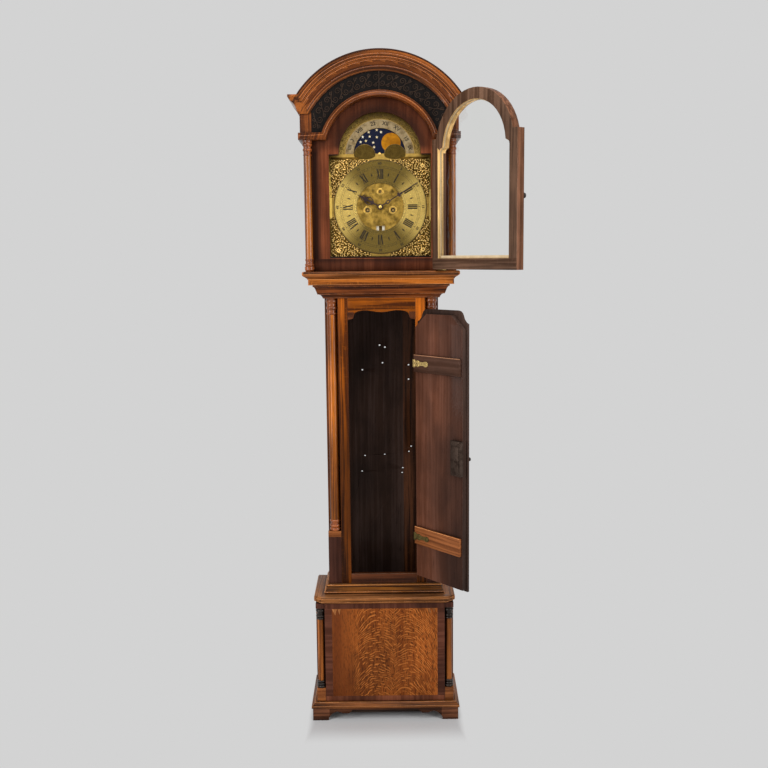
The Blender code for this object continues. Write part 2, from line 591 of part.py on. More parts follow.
square = DIAL_FRONT - 0.0012
drum = [(0, square), (0.003, square), (0.003, F + 0.021), (0.004, F + 0.021), (0.004, F - 0.012),
        (BARREL + 0.0015, F - 0.012), (BARREL, F - 0.015), (BARREL, B + 0.0255), (BARREL + 0.0015, B + 0.0225),
        (0.004, B + 0.0225), (0.004, B + 0.012),
        (0.012, B + 0.012), (0.012, B + 0.0102), (0.004, B + 0.0102), (0.004, B + 0.0035), (0.0024, B + 0.0035),
        (0.0024, B + 0.0005), (0, B + 0.0005)]
arbor("going_barrel", "brass", drum, GOING, 10)
slab("going_great_wheel", "brass", [geared(GOING, CENTRE, 96, 8), ring(GOING, 0.0043, 12)], -B - 0.0097, -B - 0.0075)
strike = arbor("strike_barrel", "brass", drum, STRIKE, 10)
fuse(strike, wheel("strike_teeth", [teeth_round(STRIKE, 78, 0.0345, 0.0365)], B + 0.0075, B + 0.0097))
hammer = arbor("bell_hammer", "steel", pivoted(0.0018, F - 0.0005), HAMMER)
hx, hz = HAMMER
ax, az = -BELL - 0.0075, bell_z + 0.007
shank = [(hx - 0.002, hz - 0.002), (hx + 0.002, hz - 0.002), (ax + 0.002, az), (ax - 0.002, az)]
fuse(hammer, wheel("hammer_arm", [shank], B + 0.006, B + 0.0085),
     block("hammer_head", None, (ax - 0.006, -B - 0.0095, az - 0.008), (ax + 0.005, -B + 0.0045, az + 0.001)))

# Dial: plate with riveted feet and corner castings, chapter ring, moon and hands
hump_x, hump_r = 0.3647 * DIAL_ARCH, 0.2632 * DIAL_ARCH
humps = [p for s in (-1, 1) for p in arc(s * hump_x, ARCH_Z - 0.0015, hump_r, 172, 8, 10)]
aperture = arc(0, ARCH_Z, DIAL_ARCH - 0.049, 2.5, 177.5, 24) + humps
plate_low = ARCH_Z - 2 * DIAL_HALF
outline = [(-DIAL_HALF, plate_low), (DIAL_HALF, plate_low), (DIAL_HALF, ARCH_Z)]
outline += arc(0, ARCH_Z, DIAL_ARCH, 0, 180, 28) + [(-DIAL_HALF, ARCH_Z)]
holes = [aperture, ring(CENTRE, 0.005, 12), ring(GOING, 0.006, 12), ring(STRIKE, 0.006, 12), ring(ESCAPE, 0.003, 10),
         box2(-0.0145, 0.0145, DIAL_Z - 0.076, DIAL_Z - 0.060)]
dial = slab("dial_plate", "brass", [outline] + holes, -DIAL_FRONT, DIAL_THICK - DIAL_FRONT)
extras = [rod(f"dial_foot_{i}", None, 0.003, F + FIT, DIAL_FRONT - 0.0015, (sx * (PLATE_HALF - 0.008), 0, z), "y", 8)
          for i, (sx, z) in enumerate((s, z) for s in (1, -1) for z in (DIAL_Z - 0.0685, DIAL_Z + VERGE_RISE))]
leaf = [(0.007, 0.007), (0.099, 0.007), (0.097, 0.017), (0.083, 0.023), (0.077, 0.033), (0.065, 0.039), (0.055, 0.055),
        (0.039, 0.065), (0.033, 0.077), (0.023, 0.083), (0.017, 0.097), (0.007, 0.099)]
for i, (sx, sz) in enumerate([(1, 1), (-1, 1), (-1, -1), (1, -1)]):
    casting = [(sx * (DIAL_HALF - u), DIAL_Z + sz * (DIAL_HALF - v)) for u, v in leaf]
    extras.append(slab(f"corner_casting_{i}", None, [casting], -DIAL_FRONT - DIAL_THICK, -DIAL_FRONT + 0.0005))
fuse(dial, *extras)
slab("chapter_ring", "brass", [ring(CENTRE, 0.9 * DIAL_HALF, 40), ring(CENTRE, 0.4606 * DIAL_HALF, 32)],
     -DIAL_FRONT - RING_THICK - FIT, -DIAL_FRONT - FIT)
moon = teeth_round((0, ARCH_Z), 118, 0.703 * DIAL_ARCH, 0.718 * DIAL_ARCH)
slab("moon_disc", "painted_blue", [moon], DIAL_THICK - DIAL_FRONT + FIT, DIAL_THICK - DIAL_FRONT + FIT + HAND_THICK)


def hand(name, half_outline, long, degrees, eye, back):
    """Hand drawn pointing up with a round eye on its pipe, then turned clockwise."""
    turn = math.radians(degrees)
    c, s = math.cos(turn), math.sin(turn)
    outline = mirror([(x, z if z < 0.012 else z * long) for x, z in half_outline])
    placed = [(x * c + z * s, DIAL_Z - x * s + z * c) for x, z in outline]
    return slab(name, "blued_steel", [placed, ring(CENTRE, eye, 12)], -back - HAND_THICK, -back)


hand("minute_hand", [(0.004, -0.0075), (0.0075, -0.002), (0.0075, 0.004), (0.0035, 0.0095), (0.0022, 0.216),
                     (0.0045, 0.266), (0.0025, 0.317), (0.002, 0.54), (0.0012, 0.986), (0.0, 1.0)],
     MINUTE_LONG, 57.7, 0.0023, DIAL_FRONT + 0.011)
hand("hour_hand", [(0.005, -0.009), (0.009, -0.003), (0.009, 0.004), (0.004, 0.011), (0.003, 0.337), (0.009, 0.434),
                   (0.012, 0.554), (0.006, 0.663), (0.0028, 0.747), (0.0018, 0.964), (0.0, 1.0)],
     HOUR_LONG, 298.2, 0.0043, DIAL_FRONT + 0.007)

# Hood: moulded base, sides, columns, mask, frieze, archivolt, cornice and roof
profile = section(HOOD_HALF + HOOD_BASE_NOSE - TRUNK_HALF - 0.003, HOOD_BASE_TALL,
                  [(0, 0), (0.71, 0), (0.71, 0.41), (0.769, 0.50), (0.858, 0.59), (0.955, 0.68), (1, 0.76), (1, 0.90),
                   (0.97, 1), (0, 1)])
loft("hood_base", "oak", mitred(round_case(TRUNK_HALF + 0.003, TRUNK_FRONT, BACK), profile, HOOD_Z))
sides("hood_side", lambda name, s: block(
    name, "oak", (s * hood_in, FIT - MASK_FRONT, MASK_Z), (s * HOOD_HALF, BACK - 0.001, SHOULDER_Z)))
capital = [(1.283, 0.0), (1.283, 0.0068), (1.117, 0.0118), (1.233, 0.0188), (1.067, 0.0278), (0.983, 0.0398),
           (1.15, 0.0433), (1.15, 0.0478), (0.967, 0.0508)]
base = [(1.017, 0.0487), (1.167, 0.0447), (1.067, 0.0387), (1.283, 0.0287), (1.183, 0.0207), (1.283, 0.0167), (1.283, 0.0)]
lathe = shaft(HOOD_COLUMN, SPRING_Z - 0.0005, MASK_Z, capital, base)
sides("hood_column", lambda name, s: turned(name, "oak", lathe, (s * (HOOD_HALF - 0.0137), -HOOD_FRONT + 0.0125, 0)))
opening = [(0.002 - DIAL_HALF, plate_low + 0.002), (DIAL_HALF - 0.002, plate_low + 0.002), (DIAL_HALF - 0.002, ARCH_Z)]
opening += arc(0, ARCH_Z, DIAL_ARCH - 0.002, 0, 180, 24) + [(0.002 - DIAL_HALF, ARCH_Z)]
board = [(hood_in - FIT, MASK_Z), (hood_in - FIT, SHOULDER_Z), (hood_in - 0.092, SHOULDER_Z + 0.070)]
slab("dial_mask", "oak_dark", [mirror(board), opening], -MASK_FRONT, MASK_THICK - MASK_FRONT)

face = HOOD_HALF + 0.0075
frieze_top = CORNICE_Z + 0.0505
inner = arch_outline(FRIEZE_ARCH, SPRING_Z, 24)
outer = [(face, SPRING_Z), (face, frieze_top)] + arch_outline(CORNICE_ARCH + 0.042, frieze_top, 20)
outer += [(-face, frieze_top), (-face, SPRING_Z)]
frieze = slab("frieze", "ebonised", [outer + inner[::-1]], -HOOD_FRONT, -MASK_FRONT - 0.0008)
fuse(frieze, *[block(f"frieze_return_{s}", None, (s * (HOOD_HALF + FIT), -MASK_FRONT - 0.0135, SPRING_Z + FIT),
                     (s * face, BACK - 0.002, frieze_top - FIT)) for s in (1, -1)])
strip = HOOD_HALF + 0.0132
strip_top = SPRING_Z + STRIP_TALL
outer = [(strip, SPRING_Z), (strip, strip_top)] + arch_outline(FRIEZE_ARCH + 0.0177, strip_top, 24)
outer += [(-strip, strip_top), (-strip, SPRING_Z)]
archivolt = slab("archivolt", "oak", [outer + inner[::-1]], -HOOD_FRONT - 0.0078, -HOOD_FRONT - FIT)
fuse(archivolt, *[block(f"archivolt_return_{s}", None, (s * (face + FIT), -HOOD_FRONT - 0.0065, SPRING_Z + FIT),
                        (s * (strip - 0.0001), BACK - 0.002, strip_top - FIT)) for s in (1, -1)])

cornice = section(CORNICE_OUT, CORNICE_TALL, [
    (0, 0), (0.118, 0), (0.176, 0.109), (0.25, 0.155), (0.25, 0.218), (0.338, 0.4), (0.515, 0.564), (0.75, 0.673),
    (0.838, 0.736), (0.956, 0.845), (1, 0.864), (1, 1), (0, 1)])


def level_station(x, y, sx, sy):
    return [(x + sx * u, y + sy * u, CORNICE_Z + v) for u, v in cornice]


def spread(v):
    """Radius on the arched run at a height on the level section."""
    return CORNICE_ARCH + v * CORNICE_WIDE / CORNICE_TALL


def mitre_station(s):
    """Where the level run meets the arch."""
    return [(s * springing(spread(v), CORNICE_Z + v)[0], -HOOD_FRONT - FIT - u, CORNICE_Z + v) for u, v in cornice]


def arch_station(degrees):
    turn = math.radians(degrees)
    return [(spread(v) * math.sin(turn), -HOOD_FRONT - FIT - u, ARCH_Z + spread(v) * math.cos(turn)) for u, v in cornice]


start = 90 - springing(spread(CORNICE_TALL), CORNICE_Z + CORNICE_TALL)[1] - 2.5
along, before = face + FIT, -HOOD_FRONT - FIT
stations = [level_station(along, BACK, 1, 0), level_station(along, before, 1, -1), mitre_station(1)]
stations += [arch_station(start * (1 - k / 6.5)) for k in range(14)]
stations += [mitre_station(-1), level_station(-along, before, -1, -1), level_station(-along, BACK, -1, 0)]
loft("hood_cornice", "oak", stations)
out_r, in_r = CORNICE_ARCH + 0.050, CORNICE_ARCH + 0.0415
out_x, in_x = HOOD_HALF - FIT, hood_in + 0.0005
out_turn, in_turn = math.degrees(math.acos(out_x / out_r)), math.degrees(math.acos(in_x / in_r))
foot = SHOULDER_Z + FIT
shell = arc(0, ARCH_Z, out_r, out_turn, 180 - out_turn, 20) + [(-out_x, foot), (-in_x, foot)]
shell += arc(0, ARCH_Z, in_r, 180 - in_turn, in_turn, 20) + [(in_x, foot), (out_x, foot)]
slab("hood_roof", "softwood", [shell], -HOOD_FRONT + DOOR_THICK, BACK - 0.001)

# Hood door, drawn shut
door_low, door_top = MASK_Z + 0.0042, SPRING_Z - 0.0048
frame = [(DOOR_HALF, door_low), (DOOR_HALF, door_top)] + arch_outline(DOOR_ARCH, door_top, 24)
frame += [(-DOOR_HALF, door_top), (-DOOR_HALF, door_low)]


def light(shrink, count=22):
    """Outline of the door's glazed light, or of the pane a little inside it."""
    lobe = [(DIAL_HALF - 0.011, ARCH_Z - 0.006), (DIAL_HALF - 0.0125, ARCH_Z + 0.001), (DIAL_HALF - 0.018, ARCH_Z + 0.006),
            (DIAL_HALF - 0.0255, ARCH_Z + 0.0085)]
    side = [(DIAL_HALF - 0.011 - shrink, door_low + 0.0345 + shrink)] + [(x - shrink, z - 2 * shrink) for x, z in lobe]
    return side + arch_outline(DIAL_ARCH + 0.005 - shrink, ARCH_Z + 0.011, count) + [(-x, z) for x, z in reversed(side)]


door_back = -HOOD_FRONT + DOOR_THICK
knob = [(0, 0.021), (0.005, 0.021), (0.008, 0.018), (0.009, 0.014), (0.0075, 0.010), (0.0045, 0.0075), (0.005, 0.004),
        (0.008, 0.0025), (0.008, FIT), (0, FIT)]
hood_door = [
    slab("hood_door_frame", "oak", [frame, light(0)], -HOOD_FRONT, door_back),
    slab("hood_door_glass", "glass", [light(FIT)], door_back - 0.0095, door_back - 0.0095 + GLASS_THICK),
    turned("hood_door_knob", "ebonised", [(r, HOOD_FRONT + h) for r, h in knob],
           (-DOOR_HALF + 0.0165, 0, (door_low + door_top) / 2 + 0.012), "y"),
]
for name, inset, low, pin in (("hood_pivot_lower", 0.037, door_low - FIT - 0.0024, (MASK_Z + 0.0001, MASK_Z + 0.0027)),
                              ("hood_pivot_upper", 0.0185, door_top + FIT, (SPRING_Z - 0.0033, SPRING_Z - 0.0004))):
    strap = slab(name, "brass", [box2(DOOR_HALF - inset, DOOR_HALF - 0.0005, 0.0025 - HOOD_FRONT, 0.0125 - HOOD_FRONT)],
                 low, low + 0.0024, "z")
    post = rod(name + "_pin", None, 0.003, *pin, (*HOOD_PIVOT, 0), steps=10)
    hood_door += [fuse(strap, post), post]

# Trunk door, drawn shut: lipped front on a plainer inner board
door_low = DOORWAY_LOW - 0.0035
half = [(LIP_HALF, door_low), (LIP_HALF, DOORWAY_TOP - 0.0295)]
half += [(LIP_HALF - inset, DOORWAY_TOP + rise) for inset, rise in (
    (0.009, -0.0255), (0.0185, -0.0155), (0.0228, -0.0045), (0.027, 0.0035), (0.0345, 0.0092), (0.045, 0.0115))]
lip_back = -TRUNK_FRONT - 0.0005
lip = slab("trunk_door", "oak", [mirror(half)], lip_back - LIP_THICK, lip_back)
board = DOORWAY_HALF - 0.004
half = [(board, DOORWAY_LOW + 0.003), (board, DOORWAY_TOP - 0.0475), (board - 0.051, DOORWAY_TOP - 0.0035)]
inside = -TRUNK_FRONT + RAIL_THICK - 0.002
inner_board = slab("trunk_door_inner", None, [mirror(half)], lip_back - 0.003, inside)
hinge_zs = (DOORWAY_TOP - 0.1645, DOORWAY_LOW + 0.1405)
housings = [block(f"hinge_housing_{i}", None, (board + 0.0002, lip_back - 0.0022, z - LEAF_HALF - 0.0005),
                  (LIP_HALF + 0.006, lip_back + 0.001, z + LEAF_HALF + 0.0005)) for i, z in enumerate(hinge_zs)]
cut(fuse(lip, inner_board), *housings)
trunk_door = [lip, inner_board] + housings
on_board = inside + FIT
for name, look, low, high in (("trunk_batten_upper", "oak_dark", hinge_zs[0] - 0.028, hinge_zs[0] + 0.028),
                              ("trunk_batten_lower", "oak", hinge_zs[1] - 0.026, hinge_zs[1] + 0.033)):
    trunk_door.append(block(name, look, (0.004 - board, on_board, low), (board - FIT, on_board + BATTEN_THICK, high)))
for name, z in zip(("trunk_hinge_upper", "trunk_hinge_lower"), hinge_zs):
    outer, inner = lip_back - 0.0017, on_board + BATTEN_THICK + FIT
    plan = [(LIP_HALF + 0.0025, outer), (LIP_HALF + 0.0025, outer + LEAF_THICK), (board + 0.0015, outer + LEAF_THICK),
            (board + 0.0015, inner + LEAF_THICK), (board - LEAF_LONG, inner + LEAF_THICK), (board - LEAF_LONG, inner),
            (board + FIT, inner), (board + FIT, outer)]
    plates = slab(name, "brass", [plan], z - LEAF_HALF, z + LEAF_HALF, "z")
    knuckle = rod(name + "_knuckle", None, KNUCKLE, z - LEAF_HALF, z + LEAF_HALF, (*TRUNK_PIVOT, 0), steps=10)
    trunk_door += [fuse(plates, knuckle), knuckle]
lock_low = DOORWAY_LOW + 0.3755
trunk_door.append(block("trunk_door_lock", "iron", (0.001 - board, on_board, lock_low),
                        (0.001 - board + LOCK_WIDE, on_board + LOCK_THICK, lock_low + LOCK_TALL)))
knob = [(0, 0.019), (0.004, 0.019), (0.0068, 0.016), (0.0068, 0.012), (0.004, 0.008), (0.0045, 0.003), (0.0062, 0.0021),
        (0.0062, FIT), (0, FIT)]
trunk_door.append(turned("trunk_door_knob", "ebonised", [(r, LIP_THICK - lip_back + h) for r, h in knob],
                         (0.014 - LIP_HALF, 0, lock_low + 0.0495), "y"))


def hang(name, at, pieces, degrees=0.0):
    """Parents pieces to an empty on their joint's axis and turns it about the upright."""
    axis = bpy.data.objects.new(name, None)
    PARTS.objects.link(axis)
    axis.location = at
    bpy.context.view_layer.update()
    for piece in pieces:
        piece = bpy.data.objects[piece] if isinstance(piece, str) else piece
        piece.parent = axis
        piece.matrix_parent_inverse = axis.matrix_world.inverted()
    axis.rotation_euler.z = math.radians(degrees)
    bpy.context.view_layer.update()


hang("hood_door_axis", (*HOOD_PIVOT, MASK_Z), hood_door, HOOD_OPEN)
hang("trunk_door_axis", (*TRUNK_PIVOT, door_low), trunk_door, TRUNK_OPEN)
for pieces, (x, z) in ((("centre_wheel", "minute_hand", "hour_wheel", "hour_hand"), CENTRE), (("third_wheel",), THIRD),
                       (("escape_wheel",), ESCAPE), (("anchor",), VERGE), (("minute_wheel",), MINUTE),
                       (("going_barrel", "going_great_wheel"), GOING), (("strike_barrel",), STRIKE),
                       (("bell_hammer",), HAMMER), (("moon_disc",), (0.0, ARCH_Z))):
    hang(pieces[0] + "_axis", (x, -0.5 * (PLATE_FRONT + PLATE_BACK), z), pieces)
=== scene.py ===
"""Dresses the longcase clock: boards, mouldings, turnings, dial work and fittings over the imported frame."""
import json
import math
import random

import bmesh
import bpy
from mathutils import Matrix, Vector


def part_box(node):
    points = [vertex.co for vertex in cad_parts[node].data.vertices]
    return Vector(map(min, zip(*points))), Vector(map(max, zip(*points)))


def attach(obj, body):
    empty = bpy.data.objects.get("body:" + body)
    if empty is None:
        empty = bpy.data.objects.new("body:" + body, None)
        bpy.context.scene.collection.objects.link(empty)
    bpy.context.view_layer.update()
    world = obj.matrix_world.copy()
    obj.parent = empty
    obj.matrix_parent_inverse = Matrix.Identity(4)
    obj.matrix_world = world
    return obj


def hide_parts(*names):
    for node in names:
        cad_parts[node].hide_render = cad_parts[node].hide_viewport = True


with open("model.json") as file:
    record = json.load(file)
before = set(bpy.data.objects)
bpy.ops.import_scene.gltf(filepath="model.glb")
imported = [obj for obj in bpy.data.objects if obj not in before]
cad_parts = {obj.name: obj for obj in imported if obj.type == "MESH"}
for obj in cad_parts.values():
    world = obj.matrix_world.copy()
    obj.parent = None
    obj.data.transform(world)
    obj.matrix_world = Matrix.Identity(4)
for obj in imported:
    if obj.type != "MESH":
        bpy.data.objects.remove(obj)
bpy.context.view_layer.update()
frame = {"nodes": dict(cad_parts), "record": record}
bpy.ops.object.select_all(action="DESELECT")

NODES = frame["nodes"]
BODY = {node: body for body, nodes in frame["record"]["behaviour"]["bodies"].items() for node in nodes}
SLOT = {part["node"]: part["material_slot"] for part in frame["record"]["subparts"]}

ARCH_Z = 1.882              # centre of the arches
DIAL_Z = 1.7165             # centre of the hands
HOOD_OPEN = math.radians(127.5)
TRUNK_OPEN = math.radians(130.8)
HOOD_PIVOT = Vector((0.186, -0.233, 0.0))
TRUNK_PIVOT = Vector((0.1177, -0.1986, 0.0))

# Finishes


def feed(tree, made, inputs):
    """Sets a node's inputs, which are values or other nodes' sockets."""
    for key, value in inputs.items():
        socket = made.inputs[key]
        if isinstance(value, bpy.types.NodeSocket):
            tree.links.new(value, socket)
        else:
            socket.default_value = (*value, 1.0) if socket.type == "RGBA" and len(value) == 3 else value
    return made


def node(tree, kind, inputs=None, **settings):
    """Adds a shader node with its settings and its inputs."""
    made = tree.nodes.new(kind)
    for key, value in settings.items():
        setattr(made, key, value)
    return feed(tree, made, inputs or {})


def maths(tree, operation, *values, clamp=False):
    return node(tree, "ShaderNodeMath", dict(enumerate(values)), operation=operation,
                use_clamp=clamp).outputs[0]


def times(tree, first, *others):
    for value in others:
        first = maths(tree, "MULTIPLY", first, value)
    return first


def axes(tree, at):
    """The x, y and z of a place."""
    return node(tree, "ShaderNodeSeparateXYZ", {0: at}).outputs


def reach_of(tree, across, rise):
    """How far a spot of the front view lies from a centre."""
    squares = [maths(tree, "POWER", value, 2.0) for value in (across, rise)]
    return maths(tree, "SQRT", maths(tree, "ADD", *squares))


def stretched(tree, vector, scale):
    return node(tree, "ShaderNodeVectorMath", {0: vector, 1: scale}, operation="MULTIPLY").outputs[0]


def noise(tree, vector, scale=1.0, detail=3.0, rough=0.55, warp=0.0):
    values = {"Vector": vector, "Scale": scale, "Detail": detail, "Roughness": rough, "Distortion": warp}
    return node(tree, "ShaderNodeTexNoise", values).outputs["Fac"]


def between(tree, value, low, high, to_low=0.0, to_high=1.0):
    values = {"Value": value, "From Min": low, "From Max": high, "To Min": to_low, "To Max": to_high}
    return node(tree, "ShaderNodeMapRange", values, interpolation_type="SMOOTHSTEP").outputs["Result"]


def blended(tree, factor, first, second, mode="MIX"):
    made = node(tree, "ShaderNodeMix", {0: factor, 6: first, 7: second}, data_type="RGBA", blend_type=mode,
                clamp_factor=True)
    return made.outputs[2]


def dimmed(tree, colour, share):
    """A colour times a share of its light."""
    grey = node(tree, "ShaderNodeCombineColor", {0: share, 1: share, 2: share}).outputs[0]
    return blended(tree, 1.0, colour, grey, "MULTIPLY")


def new_group(name, inputs, outputs):
    """Starts a shader group with named sockets and returns its tree, its input node and its output node."""
    tree = bpy.data.node_groups.new(name, "ShaderNodeTree")
    for title, kind, value in inputs:
        socket = tree.interface.new_socket(title, in_out="INPUT", socket_type="NodeSocket" + kind)
        if value is not None:
            socket.default_value = value
    for title, kind in outputs:
        tree.interface.new_socket(title, in_out="OUTPUT", socket_type="NodeSocket" + kind)
    return tree, tree.nodes.new("NodeGroupInput"), tree.nodes.new("NodeGroupOutput")


def build_oak_grain():
    """Oak: wavy growth bands along Z, open pores, ray fleck across them, and old uneven colour."""
    tree, given, result = new_group(
        "oak grain",
        [("Vector", "Vector", None), ("Pale", "Color", (0.4, 0.15, 0.05, 1)),
         ("Deep", "Color", (0.12, 0.03, 0.01, 1)),
         ("Fleck", "Float", 0.2), ("Polish", "Float", 0.35)],
        [("Color", "Color"), ("Roughness", "Float"), ("Height", "Float")])
    at = given.outputs["Vector"]
    sway = node(tree, "ShaderNodeTexNoise", {"Vector": stretched(tree, at, (5, 5, 1.1)), "Scale": 1.0,
                                             "Detail": 1.0})
    shift = stretched(tree, sway.outputs["Color"], (0.03, 0.03, 0.0))
    swayed = node(tree, "ShaderNodeVectorMath", {0: at, 1: shift}, operation="ADD").outputs[0]
    bands = noise(tree, stretched(tree, swayed, (120, 120, 2.5)), detail=4, rough=0.6)
    broad = noise(tree, stretched(tree, swayed, (46, 46, 1.8)), detail=2)
    pores = noise(tree, stretched(tree, swayed, (900, 900, 26)), detail=2)
    patches = noise(tree, stretched(tree, at, (7, 7, 3.5)), detail=3)
    ray = noise(tree, stretched(tree, at, (60, 60, 170)), detail=2, warp=0.6)
    figure = maths(tree, "ADD", times(tree, bands, 0.6), times(tree, broad, 0.4))
    lines = between(tree, figure, 0.42, 0.58)
    colour = blended(tree, lines, given.outputs["Deep"], given.outputs["Pale"])
    flecks = times(tree, between(tree, ray, 0.58, 0.68), given.outputs["Fleck"])
    colour = blended(tree, flecks, colour, blended(tree, 1.0, given.outputs["Pale"], (1.25, 1.35, 1.6),
                                                   "MULTIPLY"))
    dark = between(tree, pores, 0.60, 0.70, 0.0, 0.55)
    colour = blended(tree, dark, colour, blended(tree, 1.0, given.outputs["Deep"], (0.35, 0.3, 0.3),
                                                 "MULTIPLY"))
    colour = dimmed(tree, colour, between(tree, patches, 0.34, 0.66, 0.62, 1.28))
    gloss = maths(tree, "ADD", given.outputs["Polish"], between(tree, patches, 0.3, 0.7, -0.06, 0.12))
    gloss = maths(tree, "ADD", gloss, times(tree, dark, 0.25), clamp=True)
    height = maths(tree, "SUBTRACT", times(tree, bands, 0.35), dark)
    feed(tree, result, {"Color": colour, "Roughness": gloss, "Height": height})
    return tree


def build_old_surface():
    """Age on any finish: grime and painted shade held in corners, found by ambient occlusion, and pale rubbed
    edges.
    """
    tree, given, result = new_group(
        "old surface",
        [("Vector", "Vector", None), ("Color", "Color", (0.5, 0.5, 0.5, 1)), ("Roughness", "Float", 0.4),
         ("Rubbed", "Color", (0.6, 0.35, 0.16, 1)), ("Wear", "Float", 0.5), ("Dirt", "Float", 0.6)],
        [("Color", "Color"), ("Roughness", "Float")])
    # Painted shade: ambient occlusion darkens corners and hollows, standing for the shade there as well as grime
    # held in them.
    shade = node(tree, "ShaderNodeAmbientOcclusion", {"Distance": 0.02}, samples=4).outputs["AO"]
    corner = times(tree, between(tree, shade, 0.35, 0.85, 1.0, 0.0), given.outputs["Dirt"])
    rounded = node(tree, "ShaderNodeBevel", {"Radius": 0.0022}, samples=4).outputs[0]
    flat = node(tree, "ShaderNodeNewGeometry").outputs["Normal"]
    facing = node(tree, "ShaderNodeVectorMath", {0: rounded, 1: flat},
                  operation="DOT_PRODUCT").outputs["Value"]
    patchy = noise(tree, given.outputs["Vector"], scale=70, detail=4, rough=0.7)
    edge = times(tree, between(tree, facing, 0.80, 0.985, 1.0, 0.0), between(tree, patchy, 0.36, 0.62))
    edge = times(tree, edge, times(tree, between(tree, shade, 0.5, 0.9), given.outputs["Wear"]))
    colour = blended(tree, edge, given.outputs["Color"], given.outputs["Rubbed"])
    colour = blended(tree, corner, colour, blended(tree, 1.0, colour, (0.22, 0.18, 0.16), "MULTIPLY"))
    rough = maths(tree, "ADD", given.outputs["Roughness"], times(tree, corner, 0.25), clamp=True)
    feed(tree, result, {"Color": colour, "Roughness": rough})
    return tree


def build_tarnish():
    """Old metal: cloudy tarnish, small pits and hair scratches."""
    tree, given, result = new_group(
        "tarnish",
        [("Vector", "Vector", None), ("Bright", "Color", (0.8, 0.6, 0.28, 1)),
         ("Dull", "Color", (0.3, 0.2, 0.08, 1)),
         ("Amount", "Float", 0.5), ("Polish", "Float", 0.3)],
        [("Color", "Color"), ("Roughness", "Float"), ("Height", "Float")])
    at = given.outputs["Vector"]
    clouds = noise(tree, at, scale=45, detail=5, rough=0.65)
    pits = noise(tree, at, scale=900, detail=2)
    scratch = noise(tree, stretched(tree, at, (2400, 60, 160)), detail=1)
    dull = times(tree, between(tree, clouds, 0.38, 0.68), given.outputs["Amount"])
    spots = between(tree, pits, 0.62, 0.72, 0.0, 0.5)
    colour = blended(tree, dull, given.outputs["Bright"], given.outputs["Dull"])
    colour = blended(tree, spots, colour, given.outputs["Dull"])
    rough = maths(tree, "ADD", given.outputs["Polish"], times(tree, dull, 0.25))
    rough = maths(tree, "ADD", rough, times(tree, spots, 0.2), clamp=True)
    height = maths(tree, "SUBTRACT", times(tree, scratch, 0.3), spots)
    feed(tree, result, {"Color": colour, "Roughness": rough, "Height": height})
    return tree


OAK_GRAIN = build_oak_grain()
OLD_SURFACE = build_old_surface()
TARNISH = build_tarnish()


def new_material(name):
    """An empty material with its shader, and the object coordinates that every pattern reads."""
    material = bpy.data.materials.new(name)
    material.use_nodes = True
    tree = material.node_tree
    shader = tree.nodes["Principled BSDF"]
    at = node(tree, "ShaderNodeTexCoord").outputs["Object"]
    return material, tree, shader, at


def group(tree, which, inputs):
    return node(tree, "ShaderNodeGroup", inputs, node_tree=which).outputs


def age(tree, shader, at, colour, rough, rubbed, wear, grime_and_shade):
    """Lays the old surface, with its grime and painted shade in corners, over a colour and gives both to the
    shader.
    """
    aged = group(tree, OLD_SURFACE, {"Vector": at, "Color": colour, "Roughness": rough, "Rubbed": rubbed,
                                     "Wear": wear, "Dirt": grime_and_shade})
    feed(tree, shader, {"Base Color": aged["Color"], "Roughness": aged["Roughness"]})


def raised(tree, shader, height, depth):
    """Feeds a height into the shader's normal."""
    bump = node(tree, "ShaderNodeBump", {"Height": height, "Distance": depth, "Strength": 1.0})
    feed(tree, shader, {"Normal": bump.outputs[0]})


GRAIN_TURN = {"z": (0, 0, 0), "x": (0, math.pi / 2, 0), "y": (math.pi / 2, 0, 0)}


def toned(red, green, blue):
    """A colour named by its screen values, in linear light."""
    return tuple((c / 255 / 12.92) if c <= 10 else ((c / 255 + 0.055) / 1.055) ** 2.4
                 for c in (red, green, blue))


RAY_PITCH = 0.0092


def ray_arcs(tree, at, colour, middle):
    """Quarter-sawn figure: thin pale rays in two columns of arches, dark pores, and a redder left side."""
    parts = axes(tree, at)
    sway = times(tree, noise(tree, stretched(tree, at, (5, 5, 9)), detail=2), 0.05)
    across = maths(tree, "ADD", parts[0], sway)
    bows = [times(tree, maths(tree, "POWER", maths(tree, "SUBTRACT", across, x), 2.0), steep)
            for x, steep in ((0.003, 9.0), (0.103, 13.0))]
    drift = times(tree, noise(tree, stretched(tree, at, (16, 16, 20)), detail=3), 0.035)
    height = maths(tree, "ADD", maths(tree, "ADD", parts[2], drift), maths(tree, "MINIMUM", *bows))
    laid = node(tree, "ShaderNodeCombineXYZ", {0: parts[0], 1: parts[1], 2: height}).outputs[0]
    rays = maths(tree, "SINE", times(tree, height, 2 * math.pi / RAY_PITCH))
    broken = between(tree, noise(tree, stretched(tree, laid, (58, 58, 120)), detail=1), 0.45, 0.55)
    fleck = noise(tree, stretched(tree, at, (360, 360, 80)), detail=1)
    figured = between(tree, parts[0], -0.125, -0.07, 0.05, 1.0)
    pale = times(tree, between(tree, rays, 0.1, 0.8), broken, figured)
    dark = times(tree, between(tree, fleck, 0.53, 0.63, 0.0, 0.85),
                 between(tree, parts[0], -0.16, -0.07, 0.4, 1.0))
    red = between(tree, parts[0], -0.16, -0.085, 0.55, 0.0)
    colour = blended(tree, red, colour, tuple(c * f for c, f in zip(middle, (0.74, 0.60, 0.62))))
    colour = blended(tree, dark, colour, tuple(c * 0.3 for c in middle))
    glow = tuple(c * f for c, f in zip(middle, (2.1, 2.5, 3.2)))
    colour = blended(tree, times(tree, pale, 0.9), colour, glow)
    shares = [between(tree, parts[0], *steps) for steps in
              ((-0.175, -0.09, 0.72, 1.14), (0.05, 0.125, 1.0, 1.42), (-0.06, 0.0, 1.0, 0.78))]
    return dimmed(tree, colour, times(tree, *shares))


